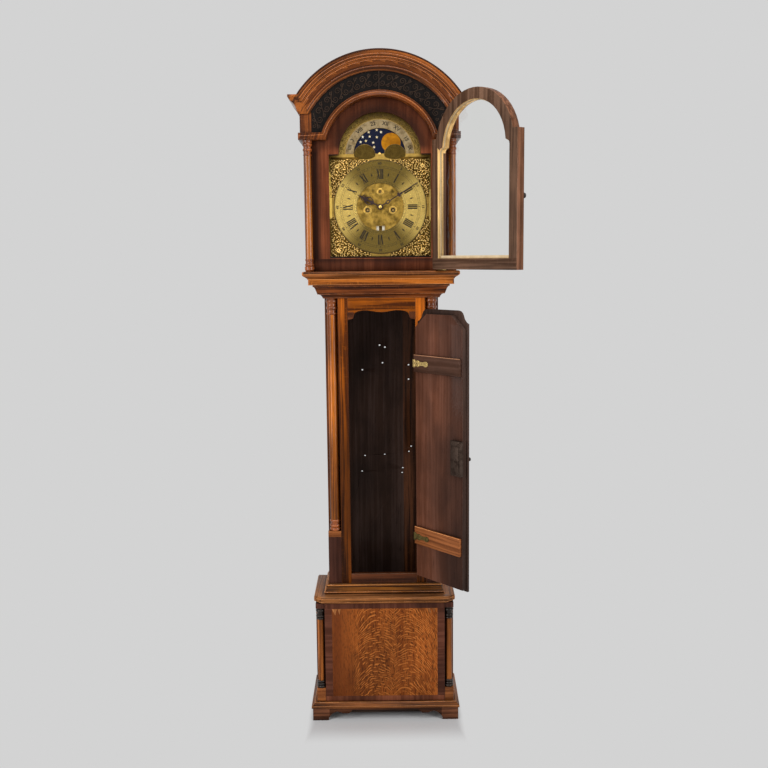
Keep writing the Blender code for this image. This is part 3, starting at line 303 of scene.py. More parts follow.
def mask_shades(tree, at, colour, middle):
    """Painted shade and light on the mask: darker behind the left column, under the dial and round its arch, and
    paler along its posts.
    """
    parts = axes(tree, at)
    rise = maths(tree, "SUBTRACT", parts[2], ARCH_Z)
    reach = reach_of(tree, parts[0], rise)
    side = times(tree, parts[0], -1.0)
    post = times(tree, between(tree, side, 0.180, 0.208, 1.7, 0.26),
                 between(tree, side, 0.2115, 0.2160, 1.0, 2.6))
    sill = between(tree, parts[2], 1.533, 1.549, 0.95, 0.42)
    arch = between(tree, reach, 0.134, 0.170, 0.36, 1.05)
    above = maths(tree, "GREATER_THAN", parts[2], 1.5515)
    share = node(tree, "ShaderNodeMix", {0: above, 2: sill, 3: post}, data_type="FLOAT").outputs[0]
    crown = between(tree, rise, 0.0, 0.03)
    share = node(tree, "ShaderNodeMix", {0: crown, 2: share, 3: arch}, data_type="FLOAT").outputs[0]
    return dimmed(tree, colour, share)


def oak(name, tone, along="z", fleck=0.15, polish=0.36, wear=0.5, grime_and_shade=0.7, coat=0.05, swing=0.0,
        spread=0.55,
        rubbed=None, shine=0.1, figure=None, hard=1.5, shade=()):
    """Waxed oak of a middle tone. Its grain runs along an axis or round the arch, and turns back with the
    mouldings past the mitre. Swing turns it with a door, and shade dims it between two places on an axis."""
    material, tree, shader, at = new_material(name)
    middle = toned(*tone)
    pale = tuple(c * (1 + spread) for c in middle)
    deep = tuple(c * (1 - spread) * f for c, f in zip(middle, (1.0, 0.88, 0.75)))
    if rubbed is None:
        rubbed = tuple(min(1.0, c * 2.1 + 0.03) for c in middle)
    if along == "arch":
        parts = axes(tree, at)
        rise = maths(tree, "SUBTRACT", parts[2], ARCH_Z)
        turn = times(tree, maths(tree, "ARCTAN2", parts[0], rise), 0.27)
        reach = reach_of(tree, parts[0], rise)
        laid = node(tree, "ShaderNodeCombineXYZ", {0: reach, 1: parts[1], 2: turn}).outputs[0]
    else:
        shut = node(tree, "ShaderNodeMapping", {"Vector": at, "Rotation": (0, 0, -swing)})
        laid = node(tree, "ShaderNodeMapping", {"Vector": shut.outputs[0],
                                                "Rotation": GRAIN_TURN[along]}).outputs[0]
    if along in ("x", "arch") and not swing:
        parts = axes(tree, at)
        beyond = maths(tree, "ADD", maths(tree, "ABSOLUTE", parts[0]), parts[1])
        turned = maths(tree, "GREATER_THAN", beyond, 0.016 if along == "arch" else -0.009)
        back = node(tree, "ShaderNodeMapping", {"Vector": at, "Rotation": GRAIN_TURN["y"]}).outputs[0]
        laid = node(tree, "ShaderNodeMix", {0: turned, 4: laid, 5: back}, data_type="VECTOR").outputs[1]
    grain = group(tree, OAK_GRAIN, {"Vector": laid, "Pale": pale, "Deep": deep, "Fleck": fleck,
                                    "Polish": polish})
    colour = figure(tree, laid, grain["Color"], middle) if figure else grain["Color"]
    if shade:
        axis, low, high, at_low, at_high = shade
        place = axes(tree, shut.outputs[0])[axis]
        colour = dimmed(tree, colour, between(tree, place, low, high, at_low, at_high))
    age(tree, shader, at, colour, grain["Roughness"], rubbed, wear, grime_and_shade)
    feed(tree, shader, {"Specular IOR Level": shine, "Coat Weight": coat, "Coat Roughness": 0.12,
                        "Coat IOR": hard})
    raised(tree, shader, grain["Height"], 0.0004)
    return material


def metal(name, bright, dull, polish=0.3, amount=0.5, wear=0.3, grime_and_shade=0.7, pattern=None, stained=None):
    """Old metal with tarnish and painted shade in its hollows and brighter edges; a pattern adds its own height
    and stain.
    """
    material, tree, shader, at = new_material(name)
    bright, dull = toned(*bright), toned(*dull)
    worn = group(tree, TARNISH, {"Vector": at, "Bright": bright, "Dull": dull, "Amount": amount,
                                 "Polish": polish})
    colour, height, depth = worn["Color"], worn["Height"], 0.00008
    if pattern:
        stain, height, depth = pattern(tree, at)
        colour = blended(tree, stain, colour, toned(*stained))
    age(tree, shader, at, colour, worn["Roughness"], bright, wear, grime_and_shade)
    feed(tree, shader, {"Metallic": 1.0})
    raised(tree, shader, height, depth)
    return material


def turned_rings(tree, at):
    """Fine circles about the hands' centre from the lathe, tarnish smudges, and a painted reflection: darker metal
    towards the top and bottom, bright at the sides.
    """
    parts = axes(tree, at)
    rise = maths(tree, "SUBTRACT", parts[2], DIAL_Z)
    across, up = maths(tree, "POWER", parts[0], 2.0), maths(tree, "POWER", rise, 2.0)
    reach = maths(tree, "SQRT", maths(tree, "ADD", across, up))
    lines = noise(tree, node(tree, "ShaderNodeCombineXYZ", {0: reach}).outputs[0], scale=2600, detail=3,
                  rough=0.7)
    smudge = between(tree, noise(tree, at, scale=60, detail=4), 0.5, 0.8, 0.0, 0.3)
    # Painted reflection: darker towards the top and bottom of the ring, leaving its sides bright as a turned ring
    # is under side lamps.
    dull = between(tree, maths(tree, "DIVIDE", up, maths(tree, "ADD", across, up)), 0.12, 0.72, 0.0, 0.85)
    return maths(tree, "MAXIMUM", smudge, dull), lines, 0.00035


def matting(tree, at):
    """The punched ground of the dial's centre."""
    grain = node(tree, "ShaderNodeTexVoronoi", {"Vector": at, "Scale": 900.0}).outputs["Distance"]
    smudge = noise(tree, at, scale=70, detail=4)
    return between(tree, smudge, 0.5, 0.75, 0.0, 0.45), grain, 0.0005


def engraving(tree, at):
    """Leafy cuts filled with dark wax; the metal is also darker towards the top of the arch."""
    wander = noise(tree, at, scale=170, detail=2, warp=1.6)
    fine = noise(tree, at, scale=420, detail=2, warp=1.0)
    cut = between(tree, maths(tree, "ABSOLUTE", maths(tree, "SUBTRACT", wander, 0.5)), 0.012, 0.05, 1.0,
                  0.0)
    hatch = between(tree, fine, 0.55, 0.64, 0.0, 0.7)
    cut = maths(tree, "MAXIMUM", cut, hatch)
    rise = axes(tree, at)[2]
    # Darker towards the top of the arch band, apart from the cuts.
    cut = maths(tree, "MAXIMUM", cut, between(tree, rise, ARCH_Z + 0.045, ARCH_Z + 0.125, 0.0, 0.7))
    return cut, maths(tree, "SUBTRACT", 1.0, cut), 0.0003


def paint(name, tone, other, scale=60.0, polish=0.4, shine=0.3, amount=0.5):
    """Old paint or wax whose colour drifts between two tones."""
    material, tree, shader, at = new_material(name)
    drift = between(tree, noise(tree, at, scale=scale, detail=5, rough=0.65), 0.35, 0.68, 0.0, amount)
    colour = blended(tree, drift, toned(*tone), toned(*other))
    age(tree, shader, at, colour, polish, toned(*other), 0.2, 0.4)
    feed(tree, shader, {"Specular IOR Level": shine})
    raised(tree, shader, noise(tree, at, scale=600, detail=3), 0.0001)
    return material


def window_glass(name):
    """Old thin glass with a faint ripple."""
    material, tree, shader, at = new_material(name)
    drift = noise(tree, at, scale=9, detail=2)
    tint = blended(tree, drift, (0.97, 0.98, 0.96), (0.99, 0.99, 0.98))
    ripple = between(tree, drift, 0.3, 0.7, 0.0, 0.02)
    feed(tree, shader, {"Base Color": tint, "Roughness": ripple, "Transmission Weight": 1.0, "IOR": 1.45})
    raised(tree, shader, drift, 0.0006)
    return material


OAK_CASE = oak("oak case", (120, 60, 8), spread=0.7, grime_and_shade=0.3, shade=(2, 0.86, 1.20, 0.45, 1.8))
OAK_RAIL = oak("oak rails", (124, 62, 6), along="x", spread=0.7)
OAK_DARK_RAIL = oak("oak bottom rail", (84, 44, 22), along="x", grime_and_shade=0.3)
OAK_SILL = oak("oak doorway sill", (92, 70, 56), along="x", wear=0.3, spread=0.3)
OAK_PAINTED_SHADOW = oak("oak under the base", (40, 28, 20), along="x", wear=0.0, spread=0.3)
OAK_COVE_SHADE = oak("oak cornice cove", (84, 42, 14), along="arch", polish=0.3, wear=0.3, spread=0.5)
OAK_SIDE = oak("oak sides", (106, 57, 24), spread=0.34)
OAK_BACK_STRIP = oak("oak inside of back", (66, 37, 20), grime_and_shade=0.2, spread=0.7)
OAK_INSIDE = oak("oak inside", (70, 42, 28), fleck=0.0, polish=0.7, wear=0.0, shine=0.1, spread=0.25)
OAK_ARCH = oak("oak arch mouldings", (117, 63, 22), along="arch", polish=0.24, coat=0.2, wear=0.8,
               spread=0.75)
OAK_BEAD_HIGHLIGHT = oak("oak beads", (146, 82, 34), along="arch", polish=0.2, coat=0.7, wear=0.4, spread=0.45,
               hard=1.6)
OAK_QUIRK_SHADE = oak("oak quirks", (50, 27, 14), along="arch", polish=0.5, wear=0.0, spread=0.3)
OAK_FRIEZE = oak("oak frieze", (104, 54, 20), wear=0.7, spread=0.6)
OAK_ARCHIVOLT = oak("oak archivolt", (93, 46, 12), along="arch", polish=0.26, coat=0.2, wear=0.6,
                    spread=0.6)
OAK_SKIRT_SHADE = oak("oak skirt", (62, 34, 19), along="x", wear=0.6, spread=0.6)
OAK_HIGHLIGHT_LINE = oak("oak rubbed lines", (178, 116, 62), along="x", polish=0.24, coat=0.4, wear=0.3, spread=0.35)
OAK_BASE = oak("oak base moulding", (104, 60, 28), along="x", wear=0.9, spread=0.7)
OAK_NOSE = oak("oak plinth nose", (120, 74, 36), along="x", wear=0.9, spread=0.7)
# Paler, greyer oak for the plinth top's upward faces: dust and painted light; its shade term paints the right end
# brighter still.
OAK_PLINTH_TOP_DUST_AND_LIGHT = oak("oak plinth top", (138, 90, 52), along="x", wear=0.9, grime_and_shade=0.3,
                     shade=(0, 0.16, 0.21, 1.0, 1.6))
OAK_FOOT = oak("oak feet", (98, 59, 38), along="x", wear=0.6, spread=0.6)
OAK_HOOD_TOP = oak("oak hood base top", (122, 70, 30), along="x", wear=0.9, coat=0.1, spread=0.75)
OAK_WAIST = oak("oak waist", (108, 62, 12), along="x", wear=0.9, spread=0.7)
OAK_HOOD_BASE = oak("oak hood base", (142, 78, 22), along="x", fleck=0.3, coat=0.1, spread=0.65)
OAK_THROAT = oak("oak throat", (94, 46, 15), along="x", wear=0.8, coat=0.1, spread=0.75)
OAK_SHAFT = oak("oak shafts", (154, 84, 20), polish=0.24, coat=0.3, spread=0.5,
                shade=(2, 0.66, 1.22, 0.48, 1.45))
OAK_PLINTH_SHAFT = oak("oak plinth shafts", (132, 74, 26), polish=0.3, coat=0.2, spread=0.55,
                       shade=(0, 0.0, 0.1, 1.0, 0.68))
OAK_HOOD_SHAFT = oak("oak hood shafts", (130, 72, 20), polish=0.2, coat=0.55, spread=0.5, hard=1.7)
OAK_TURNED_END = oak("oak turned ends", (132, 70, 32), along="x", polish=0.26, coat=0.6, wear=0.8,
                     spread=0.3)
OAK_PATCH_AND_NOSE_HIGHLIGHT = oak("oak panel patches", (148, 96, 54), spread=0.3)
OAK_BLOCK = oak("oak dark blocks", (66, 36, 26), spread=0.25)
OAK_PLAIN_BLOCK = oak("oak plinth blocks", (132, 77, 38), along="x", coat=0.1, spread=0.4)
OAK_MASK = oak("oak mask", (86, 44, 24), polish=0.42, wear=0.7, spread=0.22, figure=mask_shades)
OAK_PANEL = oak("oak figured panel", (128, 67, 22), fleck=0.0, spread=0.16, figure=ray_arcs)
OAK_BANDING = oak("oak crossbanding", (84, 47, 33), along="x", fleck=0.0, spread=0.24, grime_and_shade=0.3)
OAK_BANDING_UP = oak("oak upper crossbanding", (76, 41, 27), fleck=0.0, spread=0.24)
OAK_BANDING_LOW = oak("oak lower crossbanding", (98, 54, 35), fleck=0.0, spread=0.24, grime_and_shade=0.3)
OAK_BEHIND_DOOR = oak("oak back of trunk door", (94, 58, 43), swing=TRUNK_OPEN, polish=0.6, wear=0.5,
                      shine=0.12,
                      spread=0.16, fleck=0.05, shade=(0, -0.425, -0.300, 0.42, 1.32))
OAK_DOOR_EDGE_SHADE = oak("oak back of door lip", (61, 44, 37), swing=TRUNK_OPEN, polish=0.6, wear=0.3,
                   shine=0.12, spread=0.2)
OAK_DOOR = oak("oak front of trunk door", (124, 62, 22), swing=TRUNK_OPEN, fleck=0.4)
OAK_BATTEN_DARK = oak("oak upper batten", (71, 47, 36), along="x", swing=TRUNK_OPEN, polish=0.6, wear=1.0,
                      shine=0.12,
                      spread=0.2, rubbed=toned(178, 130, 92))
OAK_BATTEN = oak("oak lower batten", (122, 71, 37), along="x", swing=TRUNK_OPEN, polish=0.55, wear=1.0,
                 shine=0.12,
                 spread=0.4, rubbed=toned(206, 146, 96))
OAK_BATTEN_LINE = oak("oak upper batten edge", (150, 108, 80), along="x", swing=TRUNK_OPEN, polish=0.5,
                      spread=0.3)
OAK_BATTEN_PALE = oak("oak lower batten edge", (196, 132, 84), along="x", swing=TRUNK_OPEN, polish=0.5,
                      spread=0.3)
OAK_BEHIND_HOOD_DOOR = oak("oak back of hood door", (92, 67, 51), swing=HOOD_OPEN, polish=0.65, wear=1.0,
                           shine=0.12,
                           spread=0.45, rubbed=toned(170, 136, 104))
OAK_BEHIND_HOOD_RAIL = oak("oak back of hood door rail", (92, 66, 50), along="x", swing=HOOD_OPEN,
                           polish=0.65, wear=1.0,
                           shine=0.12, spread=0.45, rubbed=toned(170, 136, 104))
OAK_HOOD_DOOR = oak("oak front of hood door", (124, 82, 58), swing=HOOD_OPEN, spread=0.4)
OAK_REVEAL = oak("oak reveal", (240, 198, 130), swing=HOOD_OPEN, polish=0.5, wear=0.4, shine=0.2,
                 spread=0.25)
PINE_DARK = oak("pine backboard", (62, 46, 40), fleck=0.0, polish=0.75, wear=0.0, shine=0.08, spread=0.2)
PINE = oak("pine seatboard", (110, 80, 58), along="x", fleck=0.0, polish=0.75, shine=0.1)
EBONISED = oak("ebonised wood", (36, 27, 21), fleck=0.0, polish=0.3, wear=0.3, rubbed=toned(84, 60, 42),
               coat=0.35,
               spread=0.3)
FRET_GROUND = oak("ebonised fret ground", (14, 10, 8), fleck=0.0, polish=0.5, wear=0.0, shine=0.08,
                  spread=0.3)
FRET_CARVING = oak("ebonised carving", (43, 30, 21), fleck=0.0, polish=0.32, wear=0.2, shine=0.2,
                   spread=0.3,
                   rubbed=toned(84, 66, 52))
KNOB_BLACK = oak("ebonised knobs", (36, 30, 28), fleck=0.0, polish=0.25, wear=0.2, coat=0.4, spread=0.3)
BRASS = metal("brass", (206, 170, 104), (140, 108, 58), polish=0.32)
BRASS_PLATE = metal("dial plate brass", (206, 168, 84), (130, 100, 46), polish=0.34)
BRASS_LIT = metal("dial plate left edge", (255, 232, 138), (240, 204, 100), polish=0.85, amount=0.2,
                  grime_and_shade=0.0)
BRASS_EDGE = metal("dial plate edges", (246, 214, 120), (206, 170, 84), polish=0.26, amount=0.3, grime_and_shade=0.0)
# The chapter ring's stain holds tarnish smudges and a painted reflection, darker at its top and bottom.
BRASS_RING = metal("chapter ring brass", (236, 202, 112), (196, 160, 84), polish=0.24, amount=0.35,
                   pattern=turned_rings,
                   stained=(98, 79, 34))
BRASS_MATTED = metal("matted brass", (164, 132, 60), (92, 72, 30), polish=0.42, amount=0.8, pattern=matting,
                     stained=(56, 42, 18))
BRASS_DARK = metal("casting ground", (112, 84, 34), (48, 36, 16), polish=0.5, amount=0.8)
BRASS_GILT = metal("gilt castings", (240, 202, 122), (168, 128, 54), polish=0.22, amount=0.35, grime_and_shade=0.6)
BRASS_ENGRAVED = metal("engraved brass", (196, 162, 86), (140, 110, 52), polish=0.36, pattern=engraving,
                       stained=(66, 50, 24))
BRASS_HUMP = metal("engraved humps", (104, 84, 38), (72, 56, 25), polish=0.42, pattern=engraving,
                   stained=(70, 54, 24))
BRASS_TURNED = metal("turned collars", (222, 184, 96), (160, 124, 56), polish=0.26, amount=0.3)
BRASS_OLD = metal("old hinge brass", (226, 196, 128), (118, 94, 52), polish=0.34)
BRASS_GREEN = metal("dull hinge brass", (112, 98, 58), (62, 54, 32), polish=0.5, amount=0.9)
SILVERED = metal("silvered brass", (168, 148, 112), (104, 84, 52), polish=0.4, amount=0.8)
BELL_METAL = metal("bell metal", (196, 172, 130), (140, 116, 78), polish=0.3)
STEEL = metal("polished steel", (142, 138, 134), (84, 78, 72), polish=0.32)
STEEL_BLUED = metal("blued steel", (78, 64, 64), (44, 36, 34), polish=0.34, amount=0.6, wear=0.1)
IRON = metal("blackened iron", (78, 64, 56), (50, 38, 32), polish=0.55, amount=0.8, wear=0.9)
BLACK_WAX_AND_HOLE_SHADE = paint("black wax", (26, 22, 18), (48, 38, 28), polish=0.5, shine=0.2)
BROWN_WAX_AND_RING_SHADOW = paint("brown wax", (70, 52, 26), (48, 34, 18), polish=0.5, shine=0.2)
MOON_SKY = paint("painted sky", (16, 21, 44), (24, 28, 42), polish=0.5, shine=0.1)
MOON_GOLD = paint("painted moon", (188, 124, 14), (140, 86, 8), scale=45.0, polish=0.5, shine=0.1,
                  amount=0.9)
STAR_WHITE = paint("painted stars", (232, 226, 206), (226, 196, 120), scale=24.0, amount=1.0)
PUTTY = paint("old putty", (222, 200, 164), (186, 156, 112), scale=40.0, polish=0.8, shine=0.1)
DATE_WHITE = paint("date strip", (232, 226, 208), (206, 196, 172), scale=90.0)
GLASS = window_glass("old window glass")


# Shaping


def alone(piece):
    """Leaves only this piece selected and active."""
    bpy.ops.object.select_all(action="DESELECT")
    piece.select_set(True)
    bpy.context.view_layer.objects.active = piece
    return piece


def rounded(piece, width, segments=2, angle=32):
    """Rounds the sharp edges of a piece with an applied bevel."""
    alone(piece)
    soft = piece.modifiers.new("edges", "BEVEL")
    soft.width, soft.segments, soft.limit_method, soft.angle_limit = width, segments, "ANGLE", math.radians(angle)
    soft.use_clamp_overlap = True
    bpy.ops.object.modifier_apply(modifier=soft.name)
    return piece


def smooth(piece, angle=38):
    alone(piece)
    bpy.ops.object.shade_smooth_by_angle(angle=math.radians(angle))
    return piece


def finished(piece, finishes, body, *nodes, slot=None):
    """Gives a piece its finishes, its body and the frame nodes that it stands for."""
    if finishes:
        piece.data.materials.clear()
        for finish in finishes if isinstance(finishes, (list, tuple)) else [finishes]:
            piece.data.materials.append(finish)
    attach(piece, body)
    if nodes:
        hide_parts(*nodes)
    slot or SLOT[nodes[0]]
    return piece


def dress(node_name, finish, edge=0.0008, angle=38, weld_flat=True):
    """A welded copy of a frame node with rounded edges and its finish."""
    mesh = NODES[node_name].data.copy()
    piece = bpy.data.objects.new(node_name + "_dressed", mesh)
    bpy.context.scene.collection.objects.link(piece)
    alone(piece)
    bpy.ops.object.mode_set(mode="EDIT")
    bpy.ops.mesh.select_all(action="SELECT")
    bpy.ops.mesh.remove_doubles(threshold=0.00002)
    if weld_flat:
        bpy.ops.mesh.dissolve_limited(angle_limit=math.radians(0.6))
    bpy.ops.mesh.normals_make_consistent(inside=False)
    bpy.ops.object.mode_set(mode="OBJECT")
    if edge:
        rounded(piece, edge)
    smooth(piece, angle)
    return finished(piece, finish, BODY[node_name], node_name)


def lathe(name, profile, at, steps=48, axis="Z", closed=False):
    """Turned work: a ring of points is laid along the profile and spun; along Y its heights run forwards."""
    bpy.ops.object.select_all(action="DESELECT")
    bpy.ops.mesh.primitive_circle_add(vertices=len(profile), radius=0.1, fill_type="NOTHING")
    piece = bpy.context.object
    piece.name = name
    for vert, (radius, height) in zip(piece.data.vertices, profile):
        vert.co = (radius, 0, height)
    bpy.ops.object.mode_set(mode="EDIT")
    if not closed:
        shape = bmesh.from_edit_mesh(piece.data)
        shape.verts.ensure_lookup_table()
        shape.edges.remove(shape.edges.get((shape.verts[0], shape.verts[len(profile) - 1])))
        bmesh.update_edit_mesh(piece.data)
    bpy.ops.mesh.select_all(action="SELECT")
    bpy.ops.mesh.spin(steps=steps, angle=2 * math.pi, center=(0, 0, 0), axis=(0, 0, 1))
    bpy.ops.mesh.select_all(action="SELECT")
    bpy.ops.mesh.remove_doubles(threshold=0.00002)
    bpy.ops.mesh.normals_make_consistent(inside=False)
    bpy.ops.object.mode_set(mode="OBJECT")
    if axis == "Y":
        piece.data.transform(Matrix.Rotation(math.pi / 2, 4, "X"))
    piece.data.transform(Matrix.Translation(at))
    return smooth(piece)


def bent(start, pull, end, count=6):
    """Points after start on a curve to end that is pulled towards a third point."""
    points = []
    for k in range(1, count + 1):
        t = k / count
        points.append(tuple((1 - t) ** 2 * a + 2 * t * (1 - t) * b + t * t * c for a, b,
                            c in zip(start, pull, end)))
    return points


def block(name, low, high, edge=0.0008):
    """Squared timber or plate with rounded edges."""
    bpy.ops.object.select_all(action="DESELECT")
    middle = (Vector(low) + Vector(high)) / 2
    bpy.ops.mesh.primitive_cube_add(size=1.0, location=middle)
    piece = bpy.context.object
    piece.name = name
    piece.scale = [abs(b - a) for a, b in zip(low, high)]
    bpy.ops.object.transform_apply(location=True, rotation=True, scale=True)
    return smooth(rounded(piece, edge)) if edge else piece


def joined(first, *others):
    """Joins pieces into the first one, keeping each one's finishes."""
    bpy.ops.object.select_all(action="DESELECT")
    for piece in (*others, first):
        piece.select_set(True)
    bpy.context.view_layer.objects.active = first
    bpy.ops.object.join()
    return first


def painted_by(piece, choose):
    """Sets each face's finish from its centre and normal."""
    for face in piece.data.polygons:
        face.material_index = choose(face.center, face.normal)


def cut(piece, spot, way):
    """Scores a piece along a plane, so that each side can have its own finish."""
    alone(piece)
    bpy.ops.object.mode_set(mode="EDIT")
    bpy.ops.mesh.select_all(action="SELECT")
    bpy.ops.mesh.bisect(plane_co=spot, plane_no=way)
    bpy.ops.object.mode_set(mode="OBJECT")


def swung(piece, pivot, angle):
    """Turns a piece drawn with its door shut to where the door stands."""
    piece.data.transform(Matrix.Translation(pivot) @ Matrix.Rotation(angle, 4,
                                                                     "Z") @ Matrix.Translation(-pivot))
    return piece


# Case boards

STILE_OUT, STILE_MOVE = 0.1430, 0.0065
for name, s in (("trunk_stile_left", -1), ("trunk_stile_right", 1)):
    stile = dress(name, OAK_CASE)
    for corner in stile.data.vertices:
        if 0.130 < abs(corner.co.x) < 0.155:
            corner.co.x -= s * STILE_MOVE
for name in ("plinth_side_left", "plinth_side_right", "hood_side_left", "hood_side_right"):
    dress(name, OAK_SIDE)
for name, s in (("trunk_side_left", -1), ("trunk_side_right", 1)):
    side = dress(name, [OAK_SIDE, OAK_INSIDE])
    painted_by(side, lambda at, way: 1 if way.x * s < -0.5 else 0)
LUG_HALF, LUG_TOP = 0.0905, 1.3790
rail = dress("trunk_top_rail", [OAK_RAIL, OAK_DARK_RAIL])
for x in (-LUG_HALF, LUG_HALF):
    cut(rail, (x, 0, 0), (1, 0, 0))
cut(rail, (0, 0, LUG_TOP), (0, 0, 1))
painted_by(rail, lambda at, way: 1 if abs(at.x) > LUG_HALF and at.z < LUG_TOP else 0)
dress("trunk_bottom_rail", OAK_DARK_RAIL)
# Upward faces of the plinth top get the dusty, painted-light oak.
painted_by(dress("plinth_top", [OAK_NOSE, OAK_PLINTH_TOP_DUST_AND_LIGHT], edge=0.0006), lambda at, way: 1
           if way.z > 0.7 else 0)
dress("base_moulding", OAK_BASE, edge=0.0006)
dress("waist_moulding", OAK_WAIST, edge=0.0006)
# Painted shade: the skirt between the feet gets darker oak than the feet.
FOOT_IN = 0.190
skirt = dress("base_skirt", [OAK_SKIRT_SHADE, OAK_FOOT], edge=0.0006, weld_flat=False)
for x in (-FOOT_IN, FOOT_IN):
    cut(skirt, (x, 0, 0), (1, 0, 0))
painted_by(skirt, lambda at, way: 1 if abs(at.x) > FOOT_IN else 0)
dress("throat_moulding", OAK_THROAT, edge=0.0006)
base = dress("hood_base", [OAK_HOOD_BASE, OAK_HOOD_TOP], edge=0.0006)
painted_by(base, lambda at, way: 1 if at.z > 1.4885 else 0)
STRIP_IN = 0.072
back = dress("backboard", [PINE_DARK, OAK_BACK_STRIP], edge=0.0, weld_flat=False)
rims = [v for v in back.data.vertices if abs(v.co.x) < 0.11 and 0.55 < v.co.z < 1.36]
worn = []
for v in rims:
    near = [u.co for u in rims if math.hypot(u.co.x - v.co.x, u.co.z - v.co.z) < 0.0052]
    middle = sum(near, Vector()) / len(near)
    worn.append((v, 0.40 * (v.co.x - middle.x), 0.40 * (v.co.z - middle.z)))
for v, across, up in worn:
    v.co.x, v.co.z = v.co.x + across, v.co.z + up
cut(back, (STRIP_IN, 0, 0), (1, 0, 0))
cut(back, (0, 0, 1.47), (0, 0, 1))
painted_by(back, lambda at, way: 1 if at.x > STRIP_IN and at.z < 1.47 and way.y < -0.5 else 0)
dress("seatboard", PINE)
dress("hood_roof", PINE_DARK, edge=0.0006)
dress("dial_mask", OAK_MASK, weld_flat=False)
# Dark lips under the dial and at its shoulders are painted shadow where the mask meets the plate.
low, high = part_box("dial_mask")
lips = [block("mask_lip", (-0.1655, low.y + 0.001, 1.5480), (0.1655, high.y - 0.001, 1.5588), 0.0005)]
lips += [block("mask_lip", (min(s * 0.1345, s * 0.1655), low.y + 0.001, 1.8795),
               (max(s * 0.1345, s * 0.1655), high.y - 0.001, 1.8835),
               0.0005) for s in (-1, 1)]
finished(joined(*lips), OAK_PAINTED_SHADOW, "hood", slot="oak_dark")
dress("frieze", OAK_FRIEZE, weld_flat=False)
dress("archivolt", OAK_ARCHIVOLT, edge=0.0010, weld_flat=False)
CORNICE_IN, CORNICE_WIDE, CORNICE_FRONT, CORNICE_PROUD = 0.251, 0.061, -0.2353, 0.034
cornice = dress("hood_cornice", [OAK_ARCH, OAK_COVE_SHADE], edge=0.0005, weld_flat=False)


# Painted shade: the cove between the lower beads of the arch gets a darker copy of the oak.
def cornice_shaded_cove(at, way):
    rise = (math.hypot(at.x, at.z - ARCH_Z) - CORNICE_IN) / CORNICE_WIDE
    return 1 if at.z > 2.03 and 0.25 < rise < 0.47 else 0


painted_by(cornice, cornice_shaded_cove)

# Plinth front: figured panel in a crossbanded frame

dress("plinth_front", OAK_BANDING)
PANEL_HALF, PANEL_LOW, PANEL_HIGH = 0.1772, 0.0800, 0.3877
low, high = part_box("plinth_front")
face = low.y
panel = block("plinth_panel", (-PANEL_HALF, face - 0.0006, PANEL_LOW),
              (PANEL_HALF, face + 0.002, PANEL_HIGH), 0.0004)
finished(panel, OAK_PANEL, "case", slot="oak_figured")
EDGE = 0.0008
band_half, band_low, band_high = 0.2010, low.z + EDGE, high.z - EDGE
for name, box_low, box_high, finish in (
        ("crossband_left", (-band_half, PANEL_LOW), (-PANEL_HALF - 0.0003, PANEL_HIGH), OAK_BANDING),
        ("crossband_right", (PANEL_HALF + 0.0003, PANEL_LOW), (band_half, PANEL_HIGH), OAK_BANDING),
        ("crossband_upper", (-band_half, PANEL_HIGH + 0.0003), (band_half, band_high), OAK_BANDING_UP),
        ("crossband_lower", (-band_half, band_low), (band_half, PANEL_LOW - 0.0003), OAK_BANDING_LOW)):
    strip = block(name, (box_low[0], face - 0.0005, box_low[1]), (box_high[0], face + 0.002, box_high[1]),
                  0.0004)
    finished(strip, finish, "case", slot="oak_dark")

# Turned columns with their blocks


def turning(radius, low, steps):
    """Profile from the axis outwards and up: beads swell, coves hollow and tapers run straight."""
    points, r, z = [(0.0, low), (radius, low)], radius, low
    for kind, tall, size in steps:
        if kind == "bead":
            points += [(r + (size - r) * math.sin(math.pi * k / 8),
                        z + tall * (1 - math.cos(math.pi * k / 8)) / 2)
                       for k in range(1, 9)]
        elif kind == "cove":
            points += bent((r, z), (min(r, size) - 0.0004, z + tall / 2), (size, z + tall))
            r = size
        else:
            points.append((size, z + tall))
            r = size
        z += tall
    return points + [(0.0, z)]


def scaled(steps, radius):
    return [(kind, tall, size * radius) for kind, tall, size in steps]


RINGED_BASE = [("bead", 0.009, 1.40), ("to", 0.0012, 1.0), ("bead", 0.0075, 1.36), ("to", 0.0012, 1.0),
               ("bead", 0.0075, 1.30),
               ("to", 0.002, 0.98)]
RINGED_CAP = [("to", 0.001, 0.95), ("bead", 0.007, 1.28), ("to", 0.0012, 1.0), ("bead", 0.008, 1.38),
              ("to", 0.0012, 1.02),
              ("cove", 0.009, 1.15), ("bead", 0.009, 1.42), ("to", 0.002, 1.3), ("to", 0.003, 1.38)]


def ringed(name, centre, radius, low, high, base, cap, finishes, blocks=()):
    """A column from low to high; its ringed ends and any blocks are joined to the shaft."""
    base_tall, cap_tall = sum(s[1] for s in base), sum(s[1] for s in cap)
    shaft = [("to", (high - low) - base_tall - cap_tall, 0.94 * radius)]
    profile = turning(base[0][2] * radius * 0.8, low, scaled(base, radius) + shaft + scaled(cap, radius))
    column = lathe(name, profile, (centre[0], centre[1], 0), 40)
    for finish in finishes:
        column.data.materials.append(finish)
    painted_by(column, lambda at, way: 1 if at.z < low + base_tall - 0.002
               or at.z > high - cap_tall + 0.001 else 0)
    pieces = []
    for box_low, box_high, index in blocks:
        timber = block(name + "_block", box_low, box_high, 0.0010)
        for finish in finishes:
            timber.data.materials.append(finish)
        painted_by(timber, lambda at, way: index)
        pieces.append(timber)
    if pieces:
        joined(column, *pieces)
    return column


